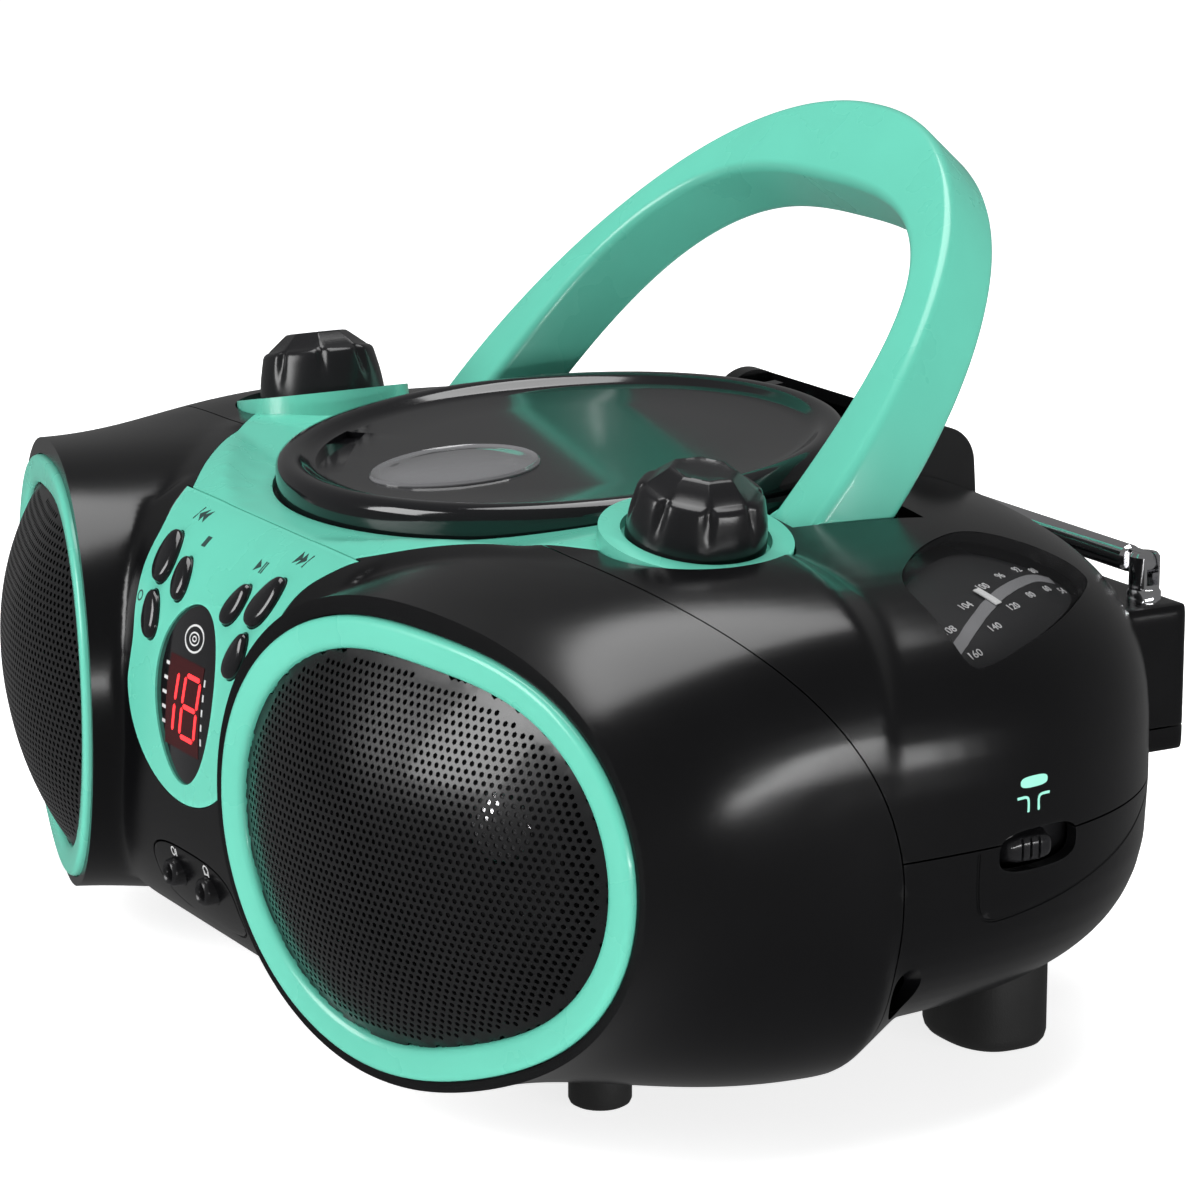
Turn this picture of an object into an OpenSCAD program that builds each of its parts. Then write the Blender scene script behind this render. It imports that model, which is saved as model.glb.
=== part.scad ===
// Portable stereo boombox: top-loading CD player with AM/FM radio and a swinging carry handle.
// Frame: +X is the listener's right, the speakers face -Y, +Z is up.
// Origin: on the ground under the middle of the whole set.

/* [Case] */
// Half of the case width at its middle height
case_half = 153; // [150:1:156]
// How far the case reaches behind its widest station
case_back = 115; // [112:1:117]
// How far the case reaches in front of its widest station
case_fore = 80; // [76:1:84]
// Station along Y where the case is widest
case_y = -15; // [-17:1:-13]
// Height of the case's middle above the ground
case_z = 63; // [62:0.5:64]
// Case height above its middle
case_up = 61; // [60:0.5:62]
// Case height below its middle
case_down = 58; // [56:0.5:59]
// Wall thickness of the moulded shells
wall = 3; // [2.6:0.2:3.4]
// Height of the joint between the upper and lower rear shells
parting_z = 63.5; // [62:0.5:65]

/* [Speakers] */
// Distance of each speaker's centre from the middle
speaker_x = 95.5; // [95:0.5:97]
// Place of each speaker's centre along Y
speaker_y = -92.5; // [-93:0.5:-92]
// Height of each speaker's centre
speaker_z = 64; // [63:0.5:65]
// Angle that each speaker is turned outwards
toe_out = 15.8; // [15:0.1:16.5]
// Mean outer radius of the mint trim ring
ring_r = 56.3; // [56:0.1:56.6]
// Width of the trim ring's band
ring_band = 7.6; // [7:0.2:8]
// How far the grille bulges in front of its rim
grille_rise = 13; // [10:1:15]

/* [CD deck] */
// Backward lean of the deck and lid
deck_tilt = 4; // [3.5:0.5:4.5]
// Radius of the CD lid
lid_r = 67; // [66.5:0.1:67.2]
// Height of the raised rim of the CD lid above the deck
lid_rim = 7.3; // [7:0.1:7.6]
// Depth of the disc well below the deck
well_depth = 13; // [12.5:0.5:14]

/* [Handle] */
// Outer half width of the handle's arch
handle_half = 88; // [87:0.5:88.5]
// Height of the arch along its own slope, from its pivots
handle_reach = 110; // [108:1:114]
// Width of each leg
leg_w = 17; // [16:0.5:17.5]
// Depth of the handle bar
leg_d = 18; // [16:0.5:18]
// Backward lean of the handle at its rest stop
handle_lean = 42; // [41:0.5:46]

/* [Controls] */
// Radius of the volume and tuning knobs at the skirt
knob_r = 15.5; // [15:0.1:15.8]
// Outward lean of the knobs
knob_lean = 12; // [10:0.5:13]

/* [Power and aerial] */
// Half width of the battery housing at the back
bay_half = 92; // [90:0.5:93]
// Rear face of the battery housing
bay_back = 110.9; // [110.5:0.1:111.5]
// Stowed length of the telescopic aerial
aerial_len = 168; // [150:1:170]

/* [Hidden] */

$fn = 64;
MINT = [0.46, 0.82, 0.72];
BLACK = [0.09, 0.09, 0.1];
GLOSS = [0.05, 0.05, 0.06];
STEEL = [0.75, 0.76, 0.78];
BOARD = [0.12, 0.35, 0.2];
BIG = 400;
lid_y = -3.7;
lid_z = 120.3;
knob_at = [90.7, -21.3, 122.6];
pivot_y = 14.8;
pivot_z = 113;
hub_r = 9;
hinge_v = 77;
hinge_w = -6;
panel_seam = -79.4;
post_at = [85, 103, 92.5];
aerial_z = 101.5;
door_y = bay_back - 1.2;
door_z = 63.4;

// ---- outlines -------------------------------------------------------------
// One point of a rounded rectangle whose corners follow exponent n
function squircle(a, b, n, t) = [
    a * sign(cos(t)) * pow(abs(cos(t)), 2 / n),
    b * sign(sin(t)) * pow(abs(sin(t)), 2 / n)
];
// Case outline from above, d inside the outer skin
function plan_outline(d) = [for (t = [3:6:357]) let (p = squircle(1, 1, 3, t))
    [p[0] * (case_half - d), case_y + p[1] * ((p[1] > 0 ? case_back : case_fore) - d)]];
// Case outline from the front
function face_outline(d) = [for (t = [3:6:357]) let (p = squircle(1, 1, 3.6, t))
    [p[0] * (case_half - d), case_z + p[1] * ((p[1] > 0 ? case_up : case_down) - d)]];
// Case outline from the side
function side_outline(d) = [for (t = [3:6:357]) let (p = squircle(1, 1, 3.8, t))
    [case_y + p[0] * ((p[0] > 0 ? case_back : case_fore) - d),
     case_z + p[1] * ((p[1] > 0 ? case_up : case_down) - d)]];
// Half extents of the case at height z: across, and along Y by its reach
function half_across(z, d) = (case_half - d)
    * pow(max(0, 1 - pow(abs(z - case_z) / ((z > case_z ? case_up : case_down) - d), 3.6)), 1 / 3.6);
function half_along(z, reach, d) = (reach - d)
    * pow(max(0, 1 - pow(abs(z - case_z) / ((z > case_z ? case_up : case_down) - d), 3.8)), 1 / 3.8);
function half_corner(z, reach, d) =
    pow(pow(half_across(z, d) * sqrt(0.5), 1.5) + pow(half_along(z, reach, d) * sqrt(0.5), 1.5), 2 / 3);
// Case outline seen along a diagonal, which rounds the upper and lower corners
function corner_heights(d) = [for (t = [-84:8:84])
    case_z + ((t > 0 ? case_up : case_down) - d) * sign(t) * pow(abs(sin(t)), 0.5)];
function corner_outline(d) = concat(
    [for (z = corner_heights(d)) [half_corner(z, case_back, d), z]],
    [[0, case_z + case_up - d]],
    [for (i = [len(corner_heights(d)) - 1:-1:0]) let (z = corner_heights(d)[i])
        [-half_corner(z, case_fore, d), z]],
    [[0, case_z - case_down + d]]);
// Forward edge of the control panel's curve, seen from the side
function nose_outline(d) = concat([for (t = [90:6:270]) let (p = squircle(1, 1, 2.6, t))
    [-60 + p[0] * (43 - d), 58 + p[1] * ((p[1] > 0 ? 60 : 50) - d)]], [[-50, 8 + d], [-50, 118 - d]]);
// The speaker's egg outline, grown outwards by g
function egg(g, step = 6) = [for (t = [0:step:359.9])
    let (r = ring_r * (1 + 0.12 * cos(2 * (t - 5)) - 0.035 * cos(3 * (t - 71))) + g)
    [r * cos(t), r * sin(t)]];
// The control panel's tongue, grown outwards by g
function tongue(g) = concat(
    [for (t = [180:10:360]) [(29.5 + g) * cos(t), 76 + (26 + g) * sin(t)]],
    [for (z = [82:6:118]) [29.5 + g + 0.0187 * pow(z - 76, 2), z]],
    [[80, 130], [-80, 130]],
    [for (z = [118:-6:82]) [-29.5 - g - 0.0187 * pow(z - 76, 2), z]]);
// Display window: round at the top, drawn in at the bottom
function teardrop(g) = [for (t = [0:12:359])
    [(15.2 + g) * cos(t) * (1 + 0.12 * sin(t)), 77 + (20.5 + g) * sin(t)]];
// The joint between the front shell and the rear shells, seen from the side
function seam_y(z) = -7 - 43 * pow(max(0, z - 55) / 66, 2);
function front_zone() = concat([for (z = [-5:12:127]) [seam_y(z), z]],
    [[seam_y(127), 140], [-BIG, 140], [-BIG, -5]]);

// ---- placing ---------------------------------------------------------------
module both() {
    children();
    mirror([1, 0, 0]) children();
}
module along_x(len) rotate([90, 0, 90]) linear_extrude(height = len, center = true) children();
module along_y(len) rotate([90, 0, 0]) linear_extrude(height = len, center = true) children();
// Deck frame: origin on the deck at the lid's centre, leaning back with the deck
module on_deck() translate([0, lid_y, lid_z]) rotate([deck_tilt, 0, 0]) children();
// Speaker frame: +Z points out of the right-hand speaker, +Y is up
module on_speaker() translate([speaker_x, speaker_y, speaker_z]) rotate([0, 0, toe_out])
    rotate([90, 0, 0]) children();
module on_knob() translate(knob_at) rotate([0, knob_lean, 0]) children();
module prism(points, low, high) translate([0, 0, low]) linear_extrude(height = high - low) polygon(points);
module box(low, high) translate(low) cube(high - low);

// ---- case --------------------------------------------------------------------
module case_solid(d) intersection() {
    translate([0, 0, case_z]) linear_extrude(height = 200, center = true) polygon(plan_outline(d));
    along_y(2 * BIG) polygon(face_outline(d));
    along_x(2 * BIG) polygon(side_outline(d));
    translate([0, case_y, 0]) rotate([0, 0, -45]) along_x(2 * BIG) polygon(corner_outline(d));
    translate([0, case_y, 0]) rotate([0, 0, 45]) along_x(2 * BIG) polygon(corner_outline(d));
}
module pod_solids(d, front) both() on_speaker() prism(egg(2.5 - d), -78, front);
module nose_solid(d) along_x(2 * (50 - d)) polygon(nose_outline(d));
module housing_solid(d) box([-bay_half + d, 40, 57.5 + d], [bay_half - d, bay_back - d, 92.5 - d]);
module outer_solid() {
    case_solid(0);
    pod_solids(0, 0);
    nose_solid(0);
    housing_solid(0);
}
module inner_space() {
    case_solid(wall);
    pod_solids(wall, -13);
    nose_solid(wall + 2.6);
    housing_solid(2.2);
}
// Pocket that the mint deck, lid and well sit in
function deck_outline() = [[-60, -80], [60, -80], [64, -58], [72, -36], [86, -12], [89, 6],
    [-89, 6], [-86, -12], [-72, -36], [-64, -58]];
module deck_pocket() on_deck() {
    prism(deck_outline(), -2.5, 40);
    translate([0, 0, -9]) cylinder(r = 70.6, h = 40);
}
module knob_seats() both() on_knob() {
    translate([0, 0, -4]) cylinder(r = 21.4, h = 30);
    translate([0, 0, -14]) cylinder(r = 6, h = 20);
}
module handle_slots() both() {
    translate([handle_half - leg_w - 0.4, pivot_y, pivot_z]) rotate([0, 90, 0])
        cylinder(r = hub_r + 1.2, h = leg_w + 0.8);
    box([handle_half - leg_w - 1.4, pivot_y - 10, pivot_z], [handle_half + 0.6, pivot_y + 24.5, 135]);
}
module on_dial() translate([115, 33, 107]) rotate([0, 38, 24]) children();
module dial_hole() on_dial() box([-15, -25, -12], [15, 26, 30]);
module switch_holes() both() box([135, 18, 56], [160, 40, 66]);
module grille_hole() both() on_speaker() {
    prism(egg(0), -3.4, 20);
    prism(egg(-ring_band), -9, 20);
    translate([0, 0, -40]) cylinder(r = 35, h = 40);
}
module fascia_skin(d) intersection() {
    difference() {
        along_x(160) polygon(nose_outline(0));
        along_x(170) polygon(nose_outline(2.6));
    }
    along_y(2 * BIG) polygon(tongue(d));
    box([-100, -130, 0], [100, panel_seam, 200]);
}
module jack_zone(g) translate([0, -99, 31]) rotate([90, 0, 0])
    linear_extrude(height = 8, center = true) polygon([for (t = [0:12:359]) squircle(22 + g, 9 + g, 3, t)]);
module screw_recess() both() translate([134, -2, 26]) rotate([0, 62, 0])
    translate([0, 0, -14]) cylinder(r = 4, h = 40);
module door_bores() translate([0, door_y, door_z]) rotate([0, 90, 0])
    cylinder(r = 1.05, h = 168, center = true);
module hinge_pocket() box([-46, 62, 104], [46, 92, 140]);

module front_shell() color(BLACK) difference() {
    intersection() {
        outer_solid();
        along_x(2 * BIG) polygon(front_zone());
    }
    difference() {
        inner_space();
        both() on_speaker() prism(egg(2), -13, 5);
    }
    deck_pocket();
    knob_seats();
    grille_hole();
    fascia_skin(0);
    jack_zone(0);
    both() translate([8.8, -80, 33]) rotate([90, 0, 0]) cylinder(r = 4.6, h = 20);
    box([-17, -101, 56], [17, -80, 98]);
    for (b = BUTTONS) button_frame(b) {
        prism(button_outline(b, 0.4), -8, 8);
        translate([0, 0, -16]) cylinder(r = 2.4, h = 14);
    }
}
module rear_zone(low, high) difference() {
    box([-BIG, -120, low], [BIG, BIG, high]);
    along_x(3 * BIG) polygon(front_zone());
}
module rear_upper_shell() color(BLACK) difference() {
    union() {
        difference() {
            intersection() {
                outer_solid();
                rear_zone(parting_z, 140);
            }
            inner_space();
            deck_pocket();
            knob_seats();
            handle_slots();
            dial_hole();
            switch_holes();
            hinge_pocket();
            box([-81.8, 105, 61.6], [81.8, 130, 88.4]);
            translate(post_at) translate([0, 0, -6]) cylinder(r = 2.55, h = 10);
            door_bores();
        }
        both() translate([handle_half + 0.4, pivot_y, pivot_z]) rotate([0, 90, 0]) cylinder(r = 6.6, h = 9);
    }
    both() translate([handle_half, pivot_y, pivot_z]) rotate([0, 90, 0]) cylinder(r = 3.05, h = 20);
}
module rear_lower_shell() color(BLACK) {
    difference() {
        intersection() {
            outer_solid();
            rear_zone(-5, parting_z);
        }
        inner_space();
        switch_holes();
        screw_recess();
        box([-81.8, 105, 61.6], [81.8, 130, 88.4]);
        door_bores();
        box([-62.2, 80, 25.8], [-37.8, 120, 46.2]);
    }
    intersection() {
        case_solid(wall - 0.4);
        for (x = [-90, 90]) for (y = [4, 44]) difference() {
            translate([x, y, 2]) cylinder(r = 4, h = 18);
            translate([x, y, 0]) cylinder(r = 1.4, h = 40);
        }
    }
}

// ---- trim ----------------------------------------------------------------------
module deck_fascia() color(MINT) difference() {
    on_deck() difference() {
        prism(deck_outline(), -2.5, 0);
        translate([0, 0, -5]) cylinder(r = lid_r + 1.3, h = 10);
    }
    knob_seats();
    handle_slots();
    box([-100, -130, 0], [100, panel_seam, 200]);
}
module control_fascia() color(MINT) difference() {
    fascia_skin(0);
    along_y(2 * BIG) polygon(teardrop(0));
    for (b = BUTTONS) button_frame(b) prism(button_outline(b, 0.3), -8, 8);
    deck_pocket_above();
}
module deck_pocket_above() on_deck() translate([-100, -200, 0]) cube([200, 300, 60]);
module display_window() color(GLOSS) intersection() {
    fascia_skin(0);
    along_y(2 * BIG) polygon(teardrop(0));
}
module display_module() {
    color(BOARD) box([-12, -93.4, 58], [12, -91.8, 92]);
    color("maroon") box([-8, -98.6, 66], [8, -93.4, 82]);
}
module jack_panel() color(BLACK) difference() {
    intersection() {
        jack_zone(0);
        union() {
            nose_solid(0);
            translate([0, -99, 31]) rotate([90, 0, 0]) linear_extrude(height = 8, center = true)
                polygon([for (t = [0:12:359]) squircle(20, 8, 3, t)]);
        }
    }
    both() translate([8.8, -80, 33]) rotate([90, 0, 0]) cylinder(r = 3.4, h = 40);
}
module jack_sockets() color(STEEL) both() translate([8.8, -84, 33]) rotate([90, 0, 0]) difference() {
    union() {
        cylinder(r = 4.4, h = 11);
        cylinder(r = 3.4, h = 18.6);
    }
    translate([0, 0, 2]) cylinder(r = 1.8, h = 30);
}

// ---- speakers --------------------------------------------------------------------
module speaker_ring() color(MINT) on_speaker() difference() {
    prism(egg(0), -3.4, 1.8);
    prism(egg(-ring_band), -5, 5);
}
// Domed perforated grille: two skins of the same dome joined at the rim
function dome_point(k, t, lift) =
    let (r = (ring_r * (1 + 0.12 * cos(2 * (t - 5)) - 0.035 * cos(3 * (t - 71))) - ring_band - 0.1) * k)
    [r * cos(t), r * sin(t), lift + grille_rise * (1 - pow(k, 2.2))];
dome_rings = 6;
dome_steps = 36;
dome_count = dome_rings * dome_steps;
dome_skin = concat(
    [for (k = [1:dome_rings]) for (s = [0:dome_steps - 1])
        dome_point(k / dome_rings, s * 360 / dome_steps, 0)],
    [for (k = [1:dome_rings]) for (s = [0:dome_steps - 1])
        dome_point(k / dome_rings, s * 360 / dome_steps, -1.6)],
    [[0, 0, grille_rise], [0, 0, grille_rise - 1.6]]);
function dome_at(k, s, below) = (below ? dome_count : 0) + (k - 1) * dome_steps + (s % dome_steps);
module speaker_grille() color([0.2, 0.2, 0.21]) on_speaker() polyhedron(dome_skin, concat(
    [for (s = [0:dome_steps - 1]) [2 * dome_count, dome_at(1, s + 1, false), dome_at(1, s, false)]],
    [for (s = [0:dome_steps - 1]) [2 * dome_count + 1, dome_at(1, s, true), dome_at(1, s + 1, true)]],
    [for (k = [1:dome_rings - 1]) for (s = [0:dome_steps - 1]) each [
        [dome_at(k, s, false), dome_at(k, s + 1, false), dome_at(k + 1, s, false)],
        [dome_at(k, s + 1, false), dome_at(k + 1, s + 1, false), dome_at(k + 1, s, false)],
        [dome_at(k, s, true), dome_at(k + 1, s, true), dome_at(k, s + 1, true)],
        [dome_at(k, s + 1, true), dome_at(k + 1, s, true), dome_at(k + 1, s + 1, true)]]],
    [for (s = [0:dome_steps - 1]) each [
        [dome_at(dome_rings, s, false), dome_at(dome_rings, s + 1, false), dome_at(dome_rings, s, true)],
        [dome_at(dome_rings, s + 1, false), dome_at(dome_rings, s + 1, true),
            dome_at(dome_rings, s, true)]]]));
module speaker_basket() color(STEEL) on_speaker() rotate_extrude() polygon([
    [34.6, -13.2], [40, -13.2], [40, -15], [36, -15], [26, -34], [12, -34], [12, -32.4],
    [24.6, -32.4], [34.6, -14.6]]);
module speaker_cone() color([0.13, 0.13, 0.14]) on_speaker() rotate_extrude() polygon([
    [0, -22], [7, -23.6], [11, -27], [31, -14.4], [34.4, -13.4], [34.4, -14.4], [31, -15.8],
    [11, -29], [9.6, -31], [0, -31]]);
module speaker_magnet() color([0.25, 0.25, 0.27]) on_speaker() {
    translate([0, 0, -46]) cylinder(r = 26, h = 11.8);
    translate([0, 0, -34.2]) cylinder(r = 11.8, h = 1.8);
    translate([0, 0, -48]) cylinder(r = 22, h = 2);
}

// ---- CD deck ---------------------------------------------------------------------
module window_shape(g) polygon([for (t = [0:15:359]) [(19 + g) * cos(t), -30 + (21 + g) * sin(t)]]);
module cd_lid() color(GLOSS) difference() {
    on_deck() union() {
        rotate_extrude($fn = 96) polygon([[0, 2.6], [58, 2.6], [62, 0.6], [62, -1.4],
            [lid_r, -1.4], [lid_r, 4.6], [66, 6.6], [64, lid_rim], [61.5, lid_rim], [58, 5.4], [0, 4.8]]);
        for (s = [-1, 1]) translate([s * 27, 0, 0]) {
            box([-2, 58, -1.4], [2, hinge_v, 2.6]);
            translate([-2, hinge_v, hinge_w]) rotate([0, 90, 0]) cylinder(r = 4.2, h = 4);
            box([-2, hinge_v - 4.2, hinge_w], [2, hinge_v, 2.6]);
        }
    }
    on_deck() {
        translate([0, 0, -5]) linear_extrude(height = 20) window_shape(0);
        translate([-50, hinge_v, hinge_w]) rotate([0, 90, 0]) cylinder(r = 1.5, h = 100);
    }
}
module lid_window() color([0.7, 0.72, 0.75, 0.5]) on_deck() intersection() {
    translate([0, 0, 3]) linear_extrude(height = 1.6) window_shape(0);
    cylinder(r = 60, h = 20);
}
module disc_clamp() color(BLACK) on_deck() rotate_extrude() polygon([
    [0, -1.6], [8.2, -1.6], [8.2, -4.4], [15, -4.4], [15, -2.6],
    [11, -2.6], [11, 2.6], [0, 2.6]]);
module lid_hinge_pin() color(STEEL) on_deck() translate([-42, hinge_v, hinge_w])
    rotate([0, 90, 0]) cylinder(r = 1.5, h = 84);
module hinge_cowl() color(BLACK) on_deck() translate([0, hinge_v, hinge_w]) difference() {
    union() {
        rotate([0, 90, 0]) cylinder(r = 9.5, h = 88, center = true);
        box([-44, -9, -9], [44, 9.5, 0]);
    }
    rotate([0, 90, 0]) cylinder(r = 7, h = 78, center = true);
    box([-39, -30, -3], [39, 0, 20]);
    box([-39, -30, 0], [39, 4.8, 20]);
    rotate([0, 90, 0]) cylinder(r = 1.55, h = 84.6, center = true);
}
module cd_well() color([0.16, 0.16, 0.17]) on_deck() difference() {
    union() {
        translate([0, 0, -4.7]) cylinder(r = 70, h = 2.2);
        translate([0, 0, -well_depth - 2]) cylinder(r = 64.6, h = well_depth - 0.5);
    }
    translate([0, 0, -well_depth]) cylinder(r = 62.6, h = 40);
    translate([0, 0, -40]) cylinder(r = 4, h = 40);
    box([-9, -62, -20], [9, -18, 0]);
}
module turntable() color([0.14, 0.14, 0.15]) on_deck() rotate_extrude() polygon([
    [0, -31], [1, -31], [1, -12.4], [14.5, -12.4],
    [14.5, -9.4], [7.4, -9.4], [7.4, -8], [5.4, -5.2], [0, -5.2]]);
module spindle_motor() color(STEEL) on_deck() difference() {
    translate([0, 0, -33]) cylinder(r = 12, h = 16.8);
    translate([0, 0, -32]) cylinder(r = 1.05, h = 40);
}
module cd_chassis() color([0.2, 0.2, 0.22]) on_deck() difference() {
    union() {
        box([-40, -70, -36], [40, 24, -34]);
        for (x = [-36, 36]) for (y = [-58, 20]) translate([x, y, -34])
            cylinder(r = 3, h = 34 - well_depth - 2);
        for (x = [-20, 20]) for (y = [-68, -17]) box([x - 4, y - 2, -34], [x + 4, y + 2, -20]);
        translate([0, 0, -34]) cylinder(r = 14, h = 1);
    }
    translate([0, 0, -40]) cylinder(r = 2, h = 30);
}
module guide_rods() color(STEEL) on_deck() for (x = [-20, 20])
    translate([x, -66, -25]) rotate([-90, 0, 0]) cylinder(r = 1.5, h = 47);
module laser_sled() color(BLACK) on_deck() difference() {
    union() {
        box([-26, -36, -29], [26, -19.4, -21]);
        box([-8, -36, -21], [8, -22, -17]);
    }
    for (x = [-20, 20]) translate([x, -80, -25]) rotate([-90, 0, 0]) cylinder(r = 1.56, h = 90);
    translate([0, 0, -31]) cylinder(r = 16, h = 20);
    translate([0, -29, -18]) cylinder(r = 3, h = 3);
}
module laser_lens() color([0.3, 0.35, 0.6]) on_deck() translate([0, -29, 0]) {
    translate([0, 0, -18]) cylinder(r = 3, h = 1);
    translate([0, 0, -17]) cylinder(r = 2.4, h = 3.2);
}

// ---- handle ------------------------------------------------------------------------
// Handle frame: origin at the pivots, +Y runs up the legs, +Z is the forward face's normal
module on_handle() translate([0, pivot_y, pivot_z]) rotate([90 - handle_lean, 0, 0]) children();
function arch(a, b, n) = [for (t = [0:5:180]) squircle(a, b, n, t)];
module handle() color(MINT) difference() {
    union() {
        on_handle() difference() {
            prism(arch(handle_half, handle_reach, 2.1), -leg_d / 2, leg_d / 2);
            prism(concat(arch(handle_half - leg_w, handle_reach - 23, 3),
                [[leg_w - handle_half, -5], [handle_half - leg_w, -5]]),
                -leg_d, leg_d);
        }
        both() translate([handle_half - leg_w, pivot_y, pivot_z]) rotate([0, 90, 0])
            cylinder(r = hub_r, h = leg_w);
        both() translate([handle_half - 1, pivot_y, pivot_z]) rotate([0, 90, 0]) cylinder(r = 3, h = 9);
    }
}

// ---- controls ------------------------------------------------------------------------
module knob_base() color(MINT) on_knob() difference() {
    translate([0, 0, -4]) cylinder(r = 21.4, h = 5);
    translate([0, 0, -1.5]) cylinder(r = knob_r + 1, h = 10);
    translate([0, 0, -10]) cylinder(r = 3.6, h = 20);
}
module knob() color(BLACK) on_knob() {
    rotate_extrude() polygon([[0, -0.6], [knob_r, -0.6], [knob_r, 2],
        [14.6, 5.6], [13.4, 11.6], [11.6, 13.2], [9.4, 13.2],
        [8.6, 16], [0, 16.4]]);
    translate([0, 0, -20]) cylinder(r = 3, h = 19.4);
}
module control_body(size) on_knob() difference() {
    union() {
        translate([0, 0, -16]) cube([size, size, 12], center = true);
        translate([0, 0, -10]) cylinder(r = 5.4, h = 4.6);
    }
    translate([0, 0, -20.2]) cylinder(r = 3.05, h = 40);
}
module volume_control() color(STEEL) mirror([1, 0, 0]) control_body(17);
module tuning_capacitor() color([0.85, 0.85, 0.8]) control_body(21);
module dial_window() color([0.25, 0.26, 0.28, 0.5]) on_dial() box([-15, -25, -1], [15, 26, 1]);
module dial_plate() color([0.16, 0.17, 0.18]) on_dial() box([-14, -24, -8], [14, 25, -6.5]);
module dial_pointer() color("white") on_dial() box([-8, -0.8, -5.4], [8, 0.8, -4.4]);
module slide_switch() color(BLACK) {
    box([146.2, 22, 58.5], [151, 31, 64]);
    box([141.5, 20, 57.5], [146.2, 33, 65]);
}
BUTTONS = [[-25.9, 103.4, 1], [25.9, 103.4, 1], [-14.4, 100.6, 0.8], [14.4, 100.6, 0.8],
    [-22.7, 91, 0.85], [22.7, 91, 0.85]];
// Slope of the control panel at height z
function panel_y(z) = -60 - 43 * pow(1 - pow(abs(z - 58) / 60, 2.6), 1 / 2.6);
function panel_lean(z) = atan2(panel_y(z + 0.5) - panel_y(z - 0.5), 1);
module button_frame(b) translate([b[0], panel_y(b[1]), b[1]])
    rotate([90 - panel_lean(b[1]), 0, 0]) children();
function button_outline(b, g) = [for (t = [0:18:359])
    [(4.4 * b[2] + g) * cos(t) - sign(b[0]) * -1.4 * sin(t), (6.6 * b[2] + g) * sin(t)]];
module button(i) color(GLOSS) button_frame(BUTTONS[i]) {
    prism(button_outline(BUTTONS[i], 0), -4.6, 1);
    translate([0, 0, -12]) cylinder(r = 2.2, h = 7.4);
}

// ---- inside ------------------------------------------------------------------------
module main_board() {
    color(BOARD) difference() {
        box([-100, -60, 20], [100, 48, 21.6]);
        for (x = [-90, 90]) for (y = [4, 44]) translate([x, y, 10]) cylinder(r = 1.4, h = 30);
    }
    color([0.1, 0.1, 0.1]) for (x = [-20, 8, 40]) box([x, -20, 21.6], [x + 16, -6, 24]);
    color("darkslateblue") for (x = [-60, -44, 64]) translate([x, -34, 21.6]) cylinder(r = 5, h = 14);
}
module transformer() {
    color([0.35, 0.34, 0.33]) box([-84, 6, 21.6], [-44, 26, 56]);
    color([0.7, 0.45, 0.2]) box([-78, 1, 28], [-50, 6, 50]);
    color([0.7, 0.45, 0.2]) box([-78, 26, 28], [-50, 31, 50]);
}
module ferrite_aerial() {
    color([0.2, 0.2, 0.2]) translate([20, 38, 46]) rotate([0, 90, 0]) cylinder(r = 4.5, h = 80);
    color([0.8, 0.5, 0.2]) translate([44, 38, 46]) rotate([0, 90, 0]) difference() {
        cylinder(r = 6, h = 30);
        translate([0, 0, -1]) cylinder(r = 4.5, h = 40);
    }
    color([0.9, 0.9, 0.85]) for (x = [24, 90]) difference() {
        box([x, 32, 21.6], [x + 4, 44, 52]);
        translate([x - 1, 38, 46]) rotate([0, 90, 0]) cylinder(r = 4.5, h = 10);
    }
}
module ac_inlet() {
    color(BLACK) inlet_body();
    inlet_pins();
}
module inlet_body() difference() {
    box([-62, 82, 26], [-38, 97.4, 46]);
    box([-58, 84, 28.4], [-42, 120, 43.6]);
}
module inlet_pins() color(STEEL) for (x = [-53.5, -46.5]) translate([x, 84, 33])
    rotate([-90, 0, 0]) cylinder(r = 1.2, h = 10);
module battery_tray() {
    color([0.15, 0.15, 0.16]) difference() {
        box([-84, 52, 60], [84, bay_back - 2.6, 90]);
        box([-82, 53.6, 61.6], [82, 140, 88.4]);
    }
    color(STEEL) for (s = [-1, 1]) for (y = [67, 94]) translate([s * 81.4, y, 75])
        rotate([0, 90, 0]) cylinder(r = 6, h = 1.2, center = true);
}
module battery_door() color(BLACK) {
    box([-81.4, door_y - 1, door_z], [81.4, door_y + 1, 88]);
    translate([0, door_y, door_z]) rotate([0, 90, 0]) cylinder(r = 1.2, h = 162.8, center = true);
    translate([0, door_y, door_z]) rotate([0, 90, 0]) cylinder(r = 1, h = 167.2, center = true);
}

// ---- aerial ------------------------------------------------------------------------
module aerial_post() color(STEEL) translate(post_at) {
    translate([0, 0, -2.2]) cylinder(r = 2.5, h = 2.2);
    cylinder(r = 4, h = 3);
    difference() {
        translate([0, 0, 3]) cylinder(r = 3.6, h = 8.6);
        box([-5, -1.6, 4.4], [5, 1.6, 20]);
        translate([0, 0, aerial_z - post_at[2]]) rotate([90, 0, 0]) cylinder(r = 1.05, h = 20, center = true);
    }
}
module on_aerial() translate([post_at[0], post_at[1], aerial_z]) rotate([0, -90, 0]) children();
module aerial_outer_tube() color(STEEL) {
    on_aerial() difference() {
        translate([0, 0, 5]) cylinder(r = 3.2, h = aerial_len - 12);
        translate([0, 0, 8]) cylinder(r = 2.55, h = aerial_len);
    }
    on_aerial() intersection() {
        box([-2.6, -1.5, -2.6], [2.6, 1.5, 6]);
        union() {
            rotate([90, 0, 0]) cylinder(r = 2.6, h = 10, center = true);
            box([-2.6, -3, 0], [2.6, 3, 6]);
        }
    }
    translate([post_at[0], post_at[1], aerial_z]) rotate([90, 0, 0]) cylinder(r = 1, h = 7, center = true);
}
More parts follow.
